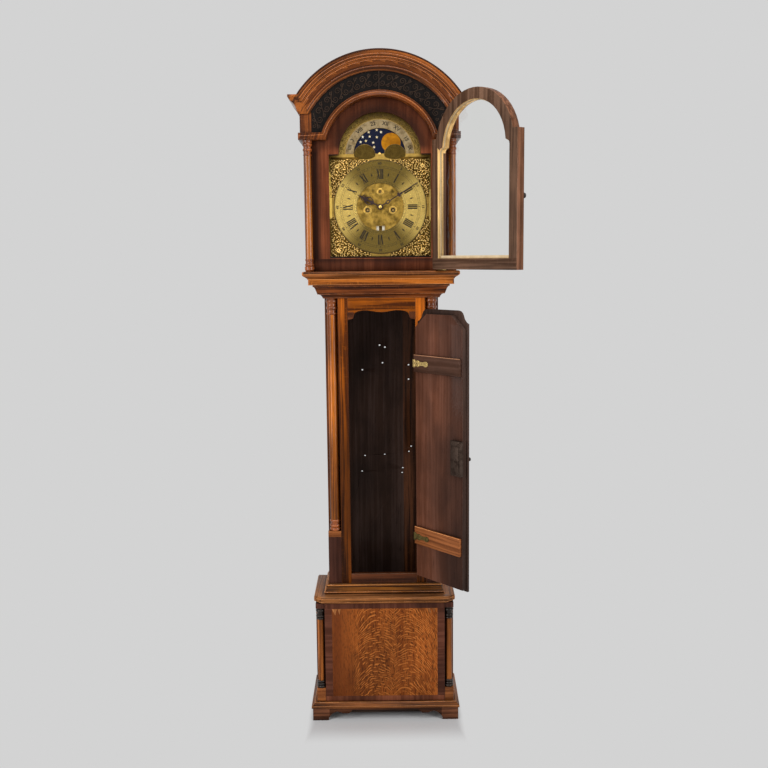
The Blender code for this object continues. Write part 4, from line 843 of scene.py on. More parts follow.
for side, s in (("left", -1), ("right", 1)):
    node_name = "plinth_column_" + side
    low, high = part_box(node_name)
    middle = (low + high) / 2
    foot, cap = low.z + 0.0459, high.z - 0.0177
    # The square block above each plinth column's cap is dark oak for the painted shadow under the nose.
    squares = [((low.x, low.y, low.z), (high.x, high.y, foot), 2),
               ((low.x, low.y, cap), (high.x, high.y, high.z), 3)]
    column = ringed(node_name + "_turned", (middle.x - s * 0.0004, middle.y - 0.0006), 0.0110, foot, cap,
                    RINGED_BASE,
                    RINGED_CAP, (OAK_PLINTH_SHAFT, EBONISED, OAK_PLAIN_BLOCK, OAK_BLOCK), squares)
    finished(column, None, "case", node_name)
    node_name = "trunk_column_" + side
    low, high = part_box(node_name)
    middle = (low + high) / 2
    top, split = low.z + 0.2137, low.z + 0.1937
    left, right = sorted((s * (STILE_OUT + 0.0004), s * max(abs(low.x), abs(high.x))))
    squares = [((left, low.y, low.z), (right, high.y, split), 2),
               ((left, low.y, split), (right, high.y, top), 3)]
    column = ringed(node_name + "_turned", (s * 0.1632, middle.y), 0.0162, top, high.z,
                    [("bead", 0.012, 1.16), ("to", 0.002, 0.98), ("bead", 0.009, 1.13),
                     ("cove", 0.008, 0.98),
                     ("bead", 0.008, 1.12), ("to", 0.003, 0.98)],
                    [("to", 0.002, 0.93), ("bead", 0.007, 1.08), ("cove", 0.010, 0.96),
                     ("bead", 0.010, 1.14),
                     ("to", 0.002, 0.98), ("cove", 0.010, 1.05), ("bead", 0.010, 1.17),
                     ("to", 0.004, 1.14)],
                    (OAK_SHAFT, OAK_TURNED_END, OAK_BLOCK, OAK_PLAIN_BLOCK), squares)
    finished(column, None, "case", node_name)
    node_name = "hood_column_" + side
    low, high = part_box(node_name)
    middle = (low + high) / 2
    column = ringed(node_name + "_turned", (middle.x, middle.y), 0.0120, low.z, high.z,
                    [("to", 0.006, 1.28), ("bead", 0.010, 1.28), ("to", 0.002, 1.02), ("bead", 0.008, 1.24),
                     ("cove", 0.008, 1.04), ("bead", 0.007, 1.16), ("to", 0.003, 1.0)],
                    [("to", 0.002, 0.95), ("bead", 0.005, 1.14), ("cove", 0.009, 1.0),
                     ("bead", 0.009, 1.22),
                     ("cove", 0.007, 1.1), ("bead", 0.009, 1.28), ("to", 0.003, 1.2), ("to", 0.006, 1.28)],
                    (OAK_HOOD_SHAFT, OAK_TURNED_END))
    finished(column, None, "hood", node_name)

# Sheet and wire work


def sheet(name, loops, front, thick=0.0005, edge=0.0):
    """Outlines in the front view, with holes, cut from sheet whose front face lies at a given y."""
    drawn = bpy.data.curves.new(name, "CURVE")
    drawn.dimensions, drawn.fill_mode = "2D", "BOTH"
    drawn.extrude, drawn.bevel_depth, drawn.bevel_resolution, drawn.offset = thick / 2 - edge, edge, 1, -edge
    for loop in loops:
        line = drawn.splines.new("POLY")
        line.points.add(len(loop) - 1)
        for point, (x, z) in zip(line.points, loop):
            point.co = (x, z, 0, 1)
        line.use_cyclic_u = True
    return laid_up(name, drawn, front + thick / 2)


def laid_up(name, drawn, middle):
    """Turns a curve or lettering into a mesh and stands it up at a given y."""
    piece = bpy.data.objects.new(name, drawn)
    bpy.context.scene.collection.objects.link(piece)
    alone(piece)
    bpy.ops.object.convert(target="MESH")
    piece = bpy.context.object
    bpy.ops.object.mode_set(mode="EDIT")
    bpy.ops.mesh.select_all(action="SELECT")
    bpy.ops.mesh.remove_doubles(threshold=0.000005)
    bpy.ops.mesh.normals_make_consistent(inside=False)
    bpy.ops.object.mode_set(mode="OBJECT")
    piece.data.transform(Matrix.Translation((0, middle, 0)) @ Matrix.Rotation(math.pi / 2, 4, "X"))
    return piece


def wires(name, paths, thick, front=None, sides=1):
    """Round wire or cast scrolls along paths of (x, z, share of the thickness); front is the y of their middle."""
    drawn = bpy.data.curves.new(name, "CURVE")
    drawn.dimensions, drawn.bevel_depth, drawn.bevel_resolution, drawn.use_fill_caps = "3D", thick, sides, True
    for path in paths:
        line = drawn.splines.new("POLY")
        line.points.add(len(path) - 1)
        for point, (x, z, share) in zip(line.points, path):
            point.co = (x, z, 0, 1)
            point.radius = share
    return smooth(laid_up(name, drawn, front), 60)


def rods(name, paths, thick, sides=2):
    """Beads of moulding along paths of points in space."""
    drawn = bpy.data.curves.new(name, "CURVE")
    drawn.dimensions, drawn.bevel_depth, drawn.bevel_resolution, drawn.use_fill_caps = "3D", thick, sides, True
    for path in paths:
        line = drawn.splines.new("POLY")
        line.points.add(len(path) - 1)
        for point, spot in zip(line.points, path):
            point.co = (*spot, 1)
    piece = bpy.data.objects.new(name, drawn)
    bpy.context.scene.collection.objects.link(piece)
    alone(piece)
    bpy.ops.object.convert(target="MESH")
    return smooth(bpy.context.object, 60)


def round_front(half, front, z, back=-0.004):
    """A line round the left side, the front and the right side of the case."""
    return [(-half, back, z), (-half, front, z), (half, front, z), (half, back, z)]


def lettering(text, tall, at, turn=0.0):
    """Flat numerals centred on a spot of the front view and turned clockwise."""
    drawn = bpy.data.curves.new("numeral", "FONT")
    drawn.body, drawn.size, drawn.align_x, drawn.align_y, drawn.extrude = text, tall, "CENTER", "CENTER", 0.00012
    drawn.resolution_u, drawn.offset = 2, 0.0003
    piece = laid_up("numeral", drawn, 0.0)
    piece.data.transform(Matrix.Rotation(turn, 4, "Y"))
    piece.data.transform(Matrix.Translation(at))
    return piece


def circle(x, z, radius, count=48, start=0.0, end=2 * math.pi):
    full = abs(end - start) > 6.28
    return [(x + radius * math.cos(start + (end - start) * k / (count if full else count - 1)),
             z + radius * math.sin(start + (end - start) * k / (count if full else count - 1)))
             for k in range(count)]


def half_ring(inner, outer, z, low=0.0, count=48):
    return (circle(0, z, outer, count, low, math.pi - low)
            + list(reversed(circle(0, z, inner, count, low, math.pi - low))))


def scroll(x, z, size, start, turns, hand=1, count=16):
    """Spiral that thins towards its eye."""
    path = []
    for k in range(count + 1):
        t = k / count
        angle = math.radians(start) + hand * turns * 2 * math.pi * t
        reach = size * (1 - 0.84 * t)
        path.append((x + reach * math.cos(angle), z + reach * math.sin(angle), 1.0 - 0.45 * t))
    return path


def around(angle, reach, centre):
    """Spot of the front view at an angle clockwise from the top."""
    return reach * math.sin(angle), centre + reach * math.cos(angle)


def placed(points, angle, centre):
    """Lays points of (across, outwards) on a dial at an angle clockwise from the top."""
    c, s = math.cos(angle), math.sin(angle)
    return [(u * c + v * s, centre - u * s + v * c) for u, v in points]


# Fret of the frieze: a dark panel with scrolls in relief

FRET_FRONT, FRET_HALF, FRET_IN, FRET_OUT, FRET_LOW = -0.2362, 0.2135, 0.1935, 0.2505, 1.9465
foot = math.asin((FRET_LOW - ARCH_Z) / FRET_IN)
turn = math.acos(FRET_HALF / FRET_OUT)
outline = [(FRET_HALF, FRET_LOW)] + circle(0, ARCH_Z, FRET_OUT, 40, turn,
                                           math.pi - turn) + [(-FRET_HALF, FRET_LOW)]
outline += list(reversed(circle(0, ARCH_Z, FRET_IN, 40, foot, math.pi - foot)))
fret = sheet("fret_panel", [outline], FRET_FRONT, 0.0011)
finished(fret, FRET_GROUND, "hood", slot="ebonised")
paths = []
for k in range(-6, 7):
    angle = math.radians(10.6 * k)
    for u, v, size, start, turns, hand in ((-0.010, 0.230, 0.0105, -20, 1.5, 1),
                                           (0.010, 0.214, 0.0105, 160, 1.5, 1),
                                           (-0.011, 0.207, 0.0055, 100, 1.2, -1),
                                           (0.012, 0.238, 0.0055, -80, 1.2, -1)):
        x, z = placed([(u, v)], angle, ARCH_Z)[0]
        if abs(x) < FRET_HALF - 0.008 and z > FRET_LOW + 0.007:
            paths.append(scroll(x, z, size, start - math.degrees(angle), turns, hand))
    stem = [(-0.019, 0.206), (-0.004, 0.216), (0.004, 0.228), (0.019, 0.240)]
    laid = placed(stem, angle, ARCH_Z)
    if all(abs(x) < FRET_HALF - 0.003 and z > FRET_LOW + 0.002 for x, z in laid):
        paths.append([(x, z, 0.9) for x, z in laid])
for s in (-1, 1):
    paths.append(scroll(s * 0.205, FRET_LOW + 0.020, 0.007, 90, 1.3, s))
    paths.append(scroll(s * 0.206, FRET_LOW + 0.038, 0.0065, -90, 1.3, -s))
paths.append([(0.0, ARCH_Z + FRET_IN + 0.001, 1.0), (0.0, ARCH_Z + FRET_OUT - 0.001, 1.0)])
finished(wires("fret_scrolls", paths, 0.0021, FRET_FRONT + 0.0001), FRET_CARVING, "hood", slot="ebonised")

# Beads that stand on the cornice and the archivolt: pale ones carry painted highlight lines, dark quirks carry
# painted shade


def arch_line(radius, last, step=2):
    return [(*around(math.radians(a), radius, ARCH_Z), 1.0) for a in range(-last, last + 1, step)]


def joint_angle(radius, level):
    """Whole degrees from the top at which an arch comes down to a level line."""
    return int(math.degrees(math.acos((level - ARCH_Z) / radius)))


for name, rise, proud, thick, finish in (
        ("cornice_quirk_inner", 0.06, 0.12, 0.0010, OAK_QUIRK_SHADE),
        ("cornice_bead_lower", 0.205, 0.255, 0.0024, OAK_BEAD_HIGHLIGHT),
        ("cornice_bead_cove", 0.50, 0.475, 0.0016, OAK_BEAD_HIGHLIGHT),
        ("cornice_bead_middle", 0.635, 0.68, 0.0017, OAK_BEAD_HIGHLIGHT),
        ("cornice_bead_upper", 0.77, 0.875, 0.0018, OAK_BEAD_HIGHLIGHT),
        ("cornice_quirk_edge", 0.945, 1.0, 0.0013, OAK_QUIRK_SHADE)):
    radius = CORNICE_IN + rise * CORNICE_WIDE
    last = joint_angle(radius, 2.004 + rise * 0.055)
    line = wires(name, [arch_line(radius, last)], thick, CORNICE_FRONT - proud * CORNICE_PROUD, 2)
    finished(line, finish, "hood", slot="oak")
top = wires("cornice_top_edge", [arch_line(CORNICE_IN + CORNICE_WIDE - 0.0012,
                                           joint_angle(0.312, 2.0575))], 0.0016,
            CORNICE_FRONT - CORNICE_PROUD + 0.0010, 1)
finished(top, OAK_BLOCK, "hood", slot="oak")
STRIP_END, STRIP_LOW, STRIP_HIGH = 0.2550, 1.9243, 1.946
for name, radius, level, thick, front, finish in (
        ("archivolt_bead_inner", 0.1775, STRIP_LOW + 0.0028, 0.0022, -0.2424, OAK_ARCHIVOLT),
        ("archivolt_bead_outer", 0.1912, STRIP_HIGH - 0.0024, 0.0017, -0.2424, OAK_ARCHIVOLT),
        ("archivolt_bead_middle", 0.1850, STRIP_LOW + 0.0118, 0.0016, -0.2426, OAK_BEAD_HIGHLIGHT)):
    last = joint_angle(radius, level)
    line = [(-STRIP_END, level, 1.0)] + arch_line(radius, last) + [(STRIP_END, level, 1.0)]
    finished(wires(name, [line], thick, front, 2), finish, "hood", slot="oak")

# Beads along the level mouldings: pale ones are painted highlight lines and dark ones painted shade


def moulding_line(name, node_name, body, out, rise, thick, finish, inner):
    """A bead on a moulding's face; out and rise are shares of its width beyond an inner half and of its height."""
    low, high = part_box(node_name)
    wide = (high.x - inner) * out
    inner_front = low.y + (high.x - inner)
    path = round_front(inner + wide, inner_front - wide, low.z + rise * (high.z - low.z))
    finished(rods(name, [path], thick), finish, body, slot="oak")


trunk_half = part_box("trunk_side_right")[1].x
for name, out, rise, thick, finish in (
        ("waist_bead_upper", 0.40, 0.83, 0.0017, OAK_HIGHLIGHT_LINE), ("waist_quirk", 0.50, 0.68, 0.0019, OAK_QUIRK_SHADE),
        ("waist_bead_lower", 1.00, 0.17, 0.0027, OAK_HIGHLIGHT_LINE), ("waist_shade", 0.97, 0.02, 0.0008, OAK_QUIRK_SHADE)):
    moulding_line(name, "waist_moulding", "case", out, rise, thick, finish, trunk_half)
for name, out, rise, thick in (("throat_bead_lower", 0.10, 0.06, 0.0014),
                               ("throat_bead_middle", 0.56, 0.345, 0.0013),
                               ("throat_bead_upper", 0.965, 0.90, 0.0013)):
    moulding_line(name, "throat_moulding", "case", out, rise, thick, OAK_BEAD_HIGHLIGHT, trunk_half)
hood_inner = trunk_half + 0.003
for name, out, rise, thick in (("hood_base_bead_lower", 0.71, 0.03, 0.0013),
                               ("hood_base_bead_middle", 0.735, 0.44, 0.0013),
                               ("hood_base_bead_upper", 0.985, 0.83, 0.0016)):
    moulding_line(name, "hood_base", "hood", out, rise, thick, OAK_HIGHLIGHT_LINE, hood_inner)
for name, out, rise, thick in (("base_bead_upper", 0.77, 0.95, 0.0014),
                               ("base_bead_lower", 0.985, 0.36, 0.0013)):
    moulding_line(name, "base_moulding", "case", out, rise, thick, OAK_HIGHLIGHT_LINE, 0.200)
# Pale lines along the plinth nose: painted highlights, in the paler patch oak.
low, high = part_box("plinth_top")
NOSE_CANT = 0.024
lines = []
for z in (low.z + 0.0065, low.z + 0.0170):
    corner_out, corner_front = high.x - 0.001, low.y + 0.001
    lines.append([(-corner_out, low.y + NOSE_CANT, z), (NOSE_CANT - high.x, corner_front, z),
                  (high.x - NOSE_CANT, corner_front, z), (corner_out, low.y + NOSE_CANT, z)])
finished(rods("plinth_nose_lines", lines, 0.0012), OAK_PATCH_AND_NOSE_HIGHLIGHT, "case", slot="oak")
low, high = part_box("trunk_bottom_rail")
finished(rods("doorway_sill_line", [[(-0.1105, low.y + 0.0006, high.z - 0.0004),
                                     (0.1105, low.y + 0.0006, high.z - 0.0004)]],
              0.0008, 1), OAK_SILL, "case", slot="oak")
# A dark bottom board behind the skirt stands for the shadow under the case: painted shadow.
low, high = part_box("base_skirt")
under = block("base_underside", (-0.125, low.y + 0.014, 0.0205), (0.125, low.y + 0.034, high.z - 0.002),
              0.0008)
finished(under, OAK_PAINTED_SHADOW, "case", slot="oak_dark")

patches = [[(-0.1765, 0.3868), (-0.1600, 0.3868), (-0.1660, 0.3640)],
           [(-0.1575, 0.3868), (-0.1475, 0.3868), (-0.1515, 0.3670)],
           [(0.1430, 0.3868), (0.1520, 0.3868), (0.1560, 0.3680)],
           [(0.1600, 0.3868), (0.1700, 0.3868), (0.1660, 0.3740)]]
finished(sheet("panel_patches", patches, face - 0.0009, 0.0004), OAK_PATCH_AND_NOSE_HIGHLIGHT, "case", slot="oak_figured")

# Dial plate, its corner castings and engraving

PLATE_FRONT = -0.180
dress("dial_plate", [BRASS_PLATE, BRASS_DARK], edge=0.0003, weld_flat=False)
dial = bpy.data.objects["dial_plate_dressed"]
painted_by(dial, lambda at, way: 1 if at.y < PLATE_FRONT - 0.0004 else 0)


def corner_leaves():
    """One corner's leaves as paths of (a, b, width) inwards from the corner, set thick up to the ring."""
    pick = random.Random(11)
    thick, flat = [], []
    for row in range(30):
        for place in range(30):
            a, b = (0.0075 + 0.0047 * k + pick.uniform(-0.0014, 0.0014) for k in (place, row))
            size, way, curl = pick.uniform(0.0040,
                                           0.0062), pick.uniform(0, 2 * math.pi), pick.uniform(-1.6, 1.6)
            if max(a, b) > 0.133 or math.hypot(0.165 - a, 0.165 - b) < 0.1515:
                continue
            leaf, x, z = [], a, b
            for share in (0.35, 1.0, 1.3, 0.9, 0.3):
                leaf.append((x, z, share))
                x, z, way = x + size / 4 * math.cos(way), z + size / 4 * math.sin(way), way + curl / 4
            (thick if a + b < 0.102 and max(a, b) < 0.095 else flat).append(leaf)
    for k in range(8):
        way = k * math.pi / 4
        thick.append([(0.027 + r * math.cos(way), 0.027 + r * math.sin(way), share)
                      for r, share in ((0.0015, 0.6), (0.004, 1.8), (0.0068, 1.5), (0.0092, 0.4))])
    return thick, flat


LEAVES = corner_leaves()
ROUND = [(0.165 + 0.1500 * math.cos(math.radians(a)), 0.165 + 0.1500 * math.sin(math.radians(a)))
         for a in range(257, 192, -1)]
GROUND = [(0.0055, 0.0055), (0.1340, 0.0055), (0.1340, 0.0140)] + ROUND + [(0.0140, 0.1340),
                                                                           (0.0055, 0.1340)]
for name, sx, sz in (("upper_left", -1, 1), ("upper_right", 1, 1), ("lower_left", -1, -1),
                     ("lower_right", 1, -1)):
    down = 0.0105 if sz > 0 else 0.0
    squeeze = 1 - down / 0.134
    ground = sheet("casting_ground_" + name, [[(sx * (0.165 - a),
                                                DIAL_Z + sz * (0.165 - down - squeeze * b)) for a,
                                                b in GROUND]],
                   PLATE_FRONT - 0.0003, 0.0004)
    finished(ground, BRASS_DARK, "case", slot="brass")
    for kind, leaves, front in (("casting_", LEAVES[0], PLATE_FRONT - 0.0026),
                                ("casting_arms_", LEAVES[1], PLATE_FRONT - 0.0009)):
        paths = [[(sx * (0.165 - a), DIAL_Z + sz * (0.165 - down - squeeze * b), share) for a, b,
                  share in leaf]
                 for leaf in leaves]
        finished(wires(kind + name, paths, 0.00125, front), BRASS_GILT, "case", slot="brass")

edges = [[(s * a, DIAL_Z + b) for a, b in ((inner, low), (0.1648, low), (0.1648, high), (inner, high))]
         for s, inner, low, high in ((-1, 0.1562, -0.036, 0.112), (1, 0.1585, -0.045, 0.055))]
edges = sheet("dial_plate_edges", edges, PLATE_FRONT - 0.0004, 0.0005)
edges = finished(edges, [BRASS_EDGE, BRASS_LIT], "case", slot="brass")
# The left strip is very bright brass: a painted highlight.
painted_by(edges, lambda at, way: 1 if at.x < 0 else 0)
band = sheet("arch_band", [half_ring(0.1122, 0.1320, ARCH_Z, 0.02)], PLATE_FRONT - 0.0004, 0.0005)
finished(band, BRASS_ENGRAVED, "case", slot="brass")
paths = []
for k in range(-7, 8):
    angle = math.radians(11.2 * k)
    for u, v, size, start, hand in ((-0.005, 0.124, 0.0048, 0, 1), (0.006, 0.1205, 0.0048, 180, 1)):
        x, z = placed([(u, v)], angle, ARCH_Z)[0]
        paths.append(scroll(x, z, size, start - math.degrees(angle), 1.4, hand, 12))
finished(wires("arch_engraving", paths, 0.00042, PLATE_FRONT - 0.0005), BROWN_WAX_AND_RING_SHADOW, "case", slot="brass")
lunar = sheet("lunar_ring", [half_ring(0.0845, 0.1105, ARCH_Z, 0.03)], PLATE_FRONT - 0.0007, 0.0008)
finished(lunar, SILVERED, "case", slot="brass")
line = [(*around(math.radians(a), 0.1112, ARCH_Z), 1.0) for a in range(-88, 89, 2)]
finished(wires("lunar_ring_rim", [line], 0.0010, PLATE_FRONT - 0.0007), BRASS_GILT, "case", slot="brass")
marks = [placed([(-0.0003, 0.0862), (0.0003, 0.0862), (0.0003, 0.0885), (-0.0003, 0.0885)],
                math.radians(a), ARCH_Z)
         for a in range(-84, 85, 6)]
marks = [sheet("lunar_marks", marks, PLATE_FRONT - 0.0009, 0.0002)]
for text, a in (("IIII", -76), ("3", -62), ("VIII", -40), ("22", -12), ("XII", 11), ("XV", 34),
                ("15", 60), ("IX", 78)):
    x, z = around(math.radians(a), 0.0985, ARCH_Z)
    marks.append(lettering(text, 0.0165, (x, PLATE_FRONT - 0.0008, z), math.radians(a)))
finished(joined(*marks), BLACK_WAX_AND_HOLE_SHADE, "case", slot="blued_steel")

for s, name in ((-1, "hump_left"), (1, "hump_right")):
    dome = circle(s * 0.0485, 1.8805, 0.0342, 40, 0.03, math.pi - 0.03)
    dome += [(s * 0.0485 + 0.0342 * math.cos(math.radians(a)), 1.8805 + 0.0130 * math.sin(math.radians(a)))
             for a in range(186, 356, 8)]
    hump = sheet(name, [dome], PLATE_FRONT - 0.0003, 0.0004)
    finished(hump, BRASS_HUMP, "case", slot="brass")
    rim = [(s * 0.0485 + 0.0338 * math.cos(math.radians(a)), 1.8805 + 0.0338 * math.sin(math.radians(a)),
            1.0)
           for a in range(2, 179, 4)]
    finished(wires(name + "_rim", [rim], 0.0005, PLATE_FRONT - 0.0004), BROWN_WAX_AND_RING_SHADOW, "case", slot="brass")
ball = lathe("hump_ball", [(0, 0), (0.0035, 0.0002), (0.0044, 0.0016), (0.0038, 0.0034), (0.0018, 0.0046),
                           (0, 0.005)],
             (0, PLATE_FRONT + 0.0001, 1.8850), 20, "Y")
finished(ball, BRASS_GILT, "case", slot="brass")

# Chapter ring with its hours, minutes and the matted centre

RING_FRONT = -0.1823
ring = lathe("chapter_ring_turned", [(0.0760, 0.0), (0.1485, 0.0), (0.1485, 0.0016), (0.1481, 0.0020),
                                     (0.0764, 0.0020),
                                     (0.0760, 0.0016)], (0, RING_FRONT + 0.0020, DIAL_Z), 128, "Y", True)
finished(ring, BRASS_RING, "case", "chapter_ring")
# A thin dark ring round the chapter ring is painted shadow.
shadow = sheet("chapter_ring_edge", [circle(0, DIAL_Z, 0.1502, 128), circle(0, DIAL_Z, 0.1484, 128)],
               RING_FRONT + 0.0004, 0.0004)
finished(shadow, BROWN_WAX_AND_RING_SHADOW, "case", slot="brass")
INK = RING_FRONT - 0.0001


HOURS = ("XII", "I", "II", "III", "IIII", "V", "VI", "VII", "VIII", "IX", "X", "XI")
HOUR_LOW, HOUR_HIGH = 0.0895, 0.1195
LETTER_WIDE = {"I": 0.0054, "V": 0.0118, "X": 0.0118}


def stroke_between(u0, v0, u1, v1, wide):
    """Stroke between two points of a numeral, cut square at its ends."""
    return [(u0 - wide / 2, v0), (u0 + wide / 2, v0), (u1 + wide / 2, v1), (u1 - wide / 2, v1)]


def roman(text, low, high, thick=0.0040, thin=0.0018):
    """Strokes of a Roman numeral about u = 0 between two radii: the main ones, and those that cross them."""
    first, second, u = [], [], -sum(LETTER_WIDE[c] for c in text) / 2
    for c in text:
        mid, lean = u + LETTER_WIDE[c] / 2, LETTER_WIDE[c] / 2 - 0.0022
        if c == "I":
            first.append(stroke_between(mid, low, mid, high, thick))
        elif c == "V":
            first.append(stroke_between(mid, low, mid - lean, high, thick))
            second.append(stroke_between(mid + 0.0006, low, mid + lean + 0.0006, high, thin))
        else:
            first.append(stroke_between(mid + lean, low, mid - lean, high, thick))
            second.append(stroke_between(mid - lean, low, mid + lean, high, thin))
        u += LETTER_WIDE[c]
    return first, second


crossing, upright = [], []
for k, text in enumerate(HOURS):
    angle = math.radians(30 * k)
    first, second = roman(text, HOUR_LOW, HOUR_HIGH)
    upright += [placed(stroke, angle, DIAL_Z) for stroke in first]
    crossing += [placed(stroke, angle, DIAL_Z) for stroke in second]
fine = []
for k, text in enumerate(HOURS):
    half = sum(LETTER_WIDE[c] for c in text) / 2
    for reach in (HOUR_LOW - 0.0002, HOUR_HIGH + 0.0002):
        serif = [(-half, reach - 0.0004), (half, reach - 0.0004), (half, reach + 0.0004),
                 (-half, reach + 0.0004)]
        fine.append(placed(serif, math.radians(30 * k), DIAL_Z))
    lozenge = [(0, 0.098), (0.0022, 0.1035), (0, 0.1125), (-0.0022, 0.1035)]
    fine.append(placed(lozenge, math.radians(30 * k + 15), DIAL_Z))
for k in range(60):
    stroke = stroke_between(0, 0.1241, 0, 0.1289, 0.0006 if k % 5 else 0.0017)
    fine.append(placed(stroke, math.radians(6 * k), DIAL_Z))
fine += [placed(stroke_between(0, 0.0782, 0, 0.0826, 0.0005), math.radians(7.5 * k), DIAL_Z)
         for k in range(48)]
circles = []
for reach in (0.1468, 0.1293, 0.1236, 0.0832, 0.0776):
    circles += [circle(0, DIAL_Z, reach + 0.00028, 96), circle(0, DIAL_Z, reach - 0.00028, 96)]
marks = [sheet("hour_uprights", upright, INK, 0.0003), sheet("hour_crossings", crossing, INK - 0.00002,
                                                             0.0003),
         sheet("fine_marks", fine, INK + 0.00003, 0.0003), sheet("ring_circles", circles, INK + 0.00005,
                                                                 0.0003)]
for k in range(12):
    angle = math.radians(30 * (k + 1))
    x, z = around(angle, 0.1378, DIAL_Z)
    marks.append(lettering(str(5 * (k + 1)), 0.0115, (x, INK + 0.0001, z), angle))
finished(joined(*marks), BLACK_WAX_AND_HOLE_SHADE, "case", slot="blued_steel")

WINDING_X, WINDING_Z, SECONDS_Z = 0.041, 1.7065, 1.7655
DATE_HALF, DATE_LOW, DATE_HIGH = 0.0145, 1.6405, 1.6565
window = [(-DATE_HALF, DATE_LOW), (DATE_HALF, DATE_LOW), (DATE_HALF, DATE_HIGH), (-DATE_HALF, DATE_HIGH)]
openings = [circle(s * WINDING_X, WINDING_Z, 0.0063, 32) for s in (-1, 1)]
openings += [circle(0, SECONDS_Z, 0.0033, 24), circle(0, DIAL_Z, 0.008, 32), window]
centre_plate = sheet("matted_centre", [circle(0, DIAL_Z, 0.0757, 96)] + openings, PLATE_FRONT - 0.0005,
                     0.0005)
finished(centre_plate, BRASS_MATTED, "case", slot="brass")
for name, x, z, inner, outer in (("winding_collar_left", -WINDING_X, WINDING_Z, 0.0064, 0.0130),
                                 ("winding_collar_right", WINDING_X, WINDING_Z, 0.0064, 0.0130),
                                 ("seconds_collar", 0.0, SECONDS_Z, 0.0034, 0.0105)):
    wide = outer - inner
    profile = [(inner, 0.0), (inner, 0.0008), (inner + 0.18 * wide, 0.0011), (inner + 0.42 * wide, 0.0014),
               (inner + 0.5 * wide, 0.0004), (inner + 0.62 * wide, 0.0004), (inner + 0.7 * wide, 0.0010),
               (inner + 0.9 * wide, 0.0010), (outer, 0.0006), (outer, 0.0)]
    collar = lathe(name, profile, (x, PLATE_FRONT - 0.0004, z), 40, "Y", True)
    finished(collar, [BRASS_TURNED, BLACK_WAX_AND_HOLE_SHADE], "case", slot="brass")
    # Painted shade: the inner part of each collar is black where the hole falls into shadow.
    painted_by(collar, lambda at, way: 1 if math.hypot(at.x - x, at.z - z) < inner + 0.15 * wide else 0)
# Black rings inside the winding holes are painted shade.
rims = [circle(s * WINDING_X, WINDING_Z, radius, 32) for s in (-1, 1) for radius in (0.0064, 0.0036)]
finished(sheet("winding_hole_shade", rims, PLATE_FRONT + 0.0003, 0.0003), BLACK_WAX_AND_HOLE_SHADE, "case", slot="brass")
frame_line = [(x, z, 1.0) for x, z in (window + window[:1])]
finished(wires("date_window_rim", [frame_line], 0.0009, PLATE_FRONT - 0.0005), BRASS_GILT, "case",
         slot="brass")
strip = block("date_strip", (-0.0175, -0.1774, DATE_LOW - 0.002), (0.0175, -0.1768, DATE_HIGH + 0.002),
              0.0002)
finished(strip, DATE_WHITE, "case", slot="brass")
bar = block("date_bar", (-0.0052, -0.1780, DATE_LOW - 0.001), (0.0052, -0.1772, DATE_HIGH + 0.001), 0.0003)
finished(bar, BRASS_DARK, "case", slot="brass")
paths = []
for k in range(12):
    angle = math.radians(30 * k + 15)
    for across, reach, size, start, hand in ((-0.006, 0.060, 0.0062, 30, 1),
                                             (0.007, 0.050, 0.0058, 200, -1)):
        x, z = placed([(across, reach)], angle, DIAL_Z)[0]
        if min(math.hypot(abs(x) - WINDING_X, z - WINDING_Z), math.hypot(x, z - SECONDS_Z)) > 0.0195:
            if not (abs(x) < 0.022 and z < DATE_HIGH + 0.006):
                paths.append(scroll(x, z, size, start - math.degrees(angle), 1.4, hand, 12))
finished(wires("centre_engraving", paths, 0.00038, PLATE_FRONT - 0.0005), BROWN_WAX_AND_RING_SHADOW, "case", slot="brass")

# Moon disc

MOON_FRONT = -0.1772
sky = lathe("moon_disc_painted", [(0.0, 0.0), (0.0952, 0.0), (0.0955, 0.0004), (0.0955, 0.0011),
                                  (0.0952, 0.0015),
                                  (0.0, 0.0015)], (0, MOON_FRONT + 0.0015, ARCH_Z), 96, "Y")
finished(sky, MOON_SKY, "moon_disc", "moon_disc")


def star(x, z, size):
    return [(x + (size if k % 2 == 0 else 0.42 * size) * math.sin(k * math.pi / 5),
             z + (size if k % 2 == 0 else 0.42 * size) * math.cos(k * math.pi / 5)) for k in range(10)]


STARS = ((-0.0088, 0.0778), (0.0047, 0.0711), (-0.0347, 0.0711), (-0.0314, 0.0575), (-0.0088, 0.0553),
         (-0.0539, 0.0564), (-0.0438, 0.0440), (-0.0607, 0.0406), (-0.0205, 0.0384), (-0.0178, 0.0240))
loops = [star(s * x, ARCH_Z + s * z, 0.0050) for s in (1, -1) for x, z in STARS]
finished(sheet("moon_stars", loops, MOON_FRONT - 0.00014, 0.0002), STAR_WHITE, "moon_disc",
         slot="moon_paint")
MOON_TURN, MOON_OUT, MOON_SIZE = math.radians(44), 0.0525, 0.031
moons = []
for s in (0.0, math.pi):
    x, z = around(MOON_TURN + s, MOON_OUT, ARCH_Z)
    moons.append(lathe("painted_moon", [(0.0, 0.0), (MOON_SIZE, 0.0), (MOON_SIZE, 0.00008),
                                        (MOON_SIZE - 0.0003, 0.00016),
                                        (0.0, 0.00016)], (x, MOON_FRONT, z), 48, "Y"))
finished(joined(*moons), MOON_GOLD, "moon_disc", slot="moon_paint")

# Hands


def both_sides(half):
    """A closed outline from its right side, drawn from the hub outwards."""
    return half + [(-u, v) for u, v in reversed(half) if u > 0.00001]


def oval(u, v, wide, tall, count=18):
    return [(u + wide * math.cos(2 * math.pi * k / count), v + tall * math.sin(2 * math.pi * k / count))
            for k in range(count)]


def hub(radius, stem, count=20):
    """The ring round the arbor, from the far side to where the stem leaves it."""
    last = math.asin(stem / radius)
    return [(radius * math.sin(a), radius * math.cos(a)) for a in
            [math.pi - (math.pi - last) * k / count for k in range(count + 1)]]


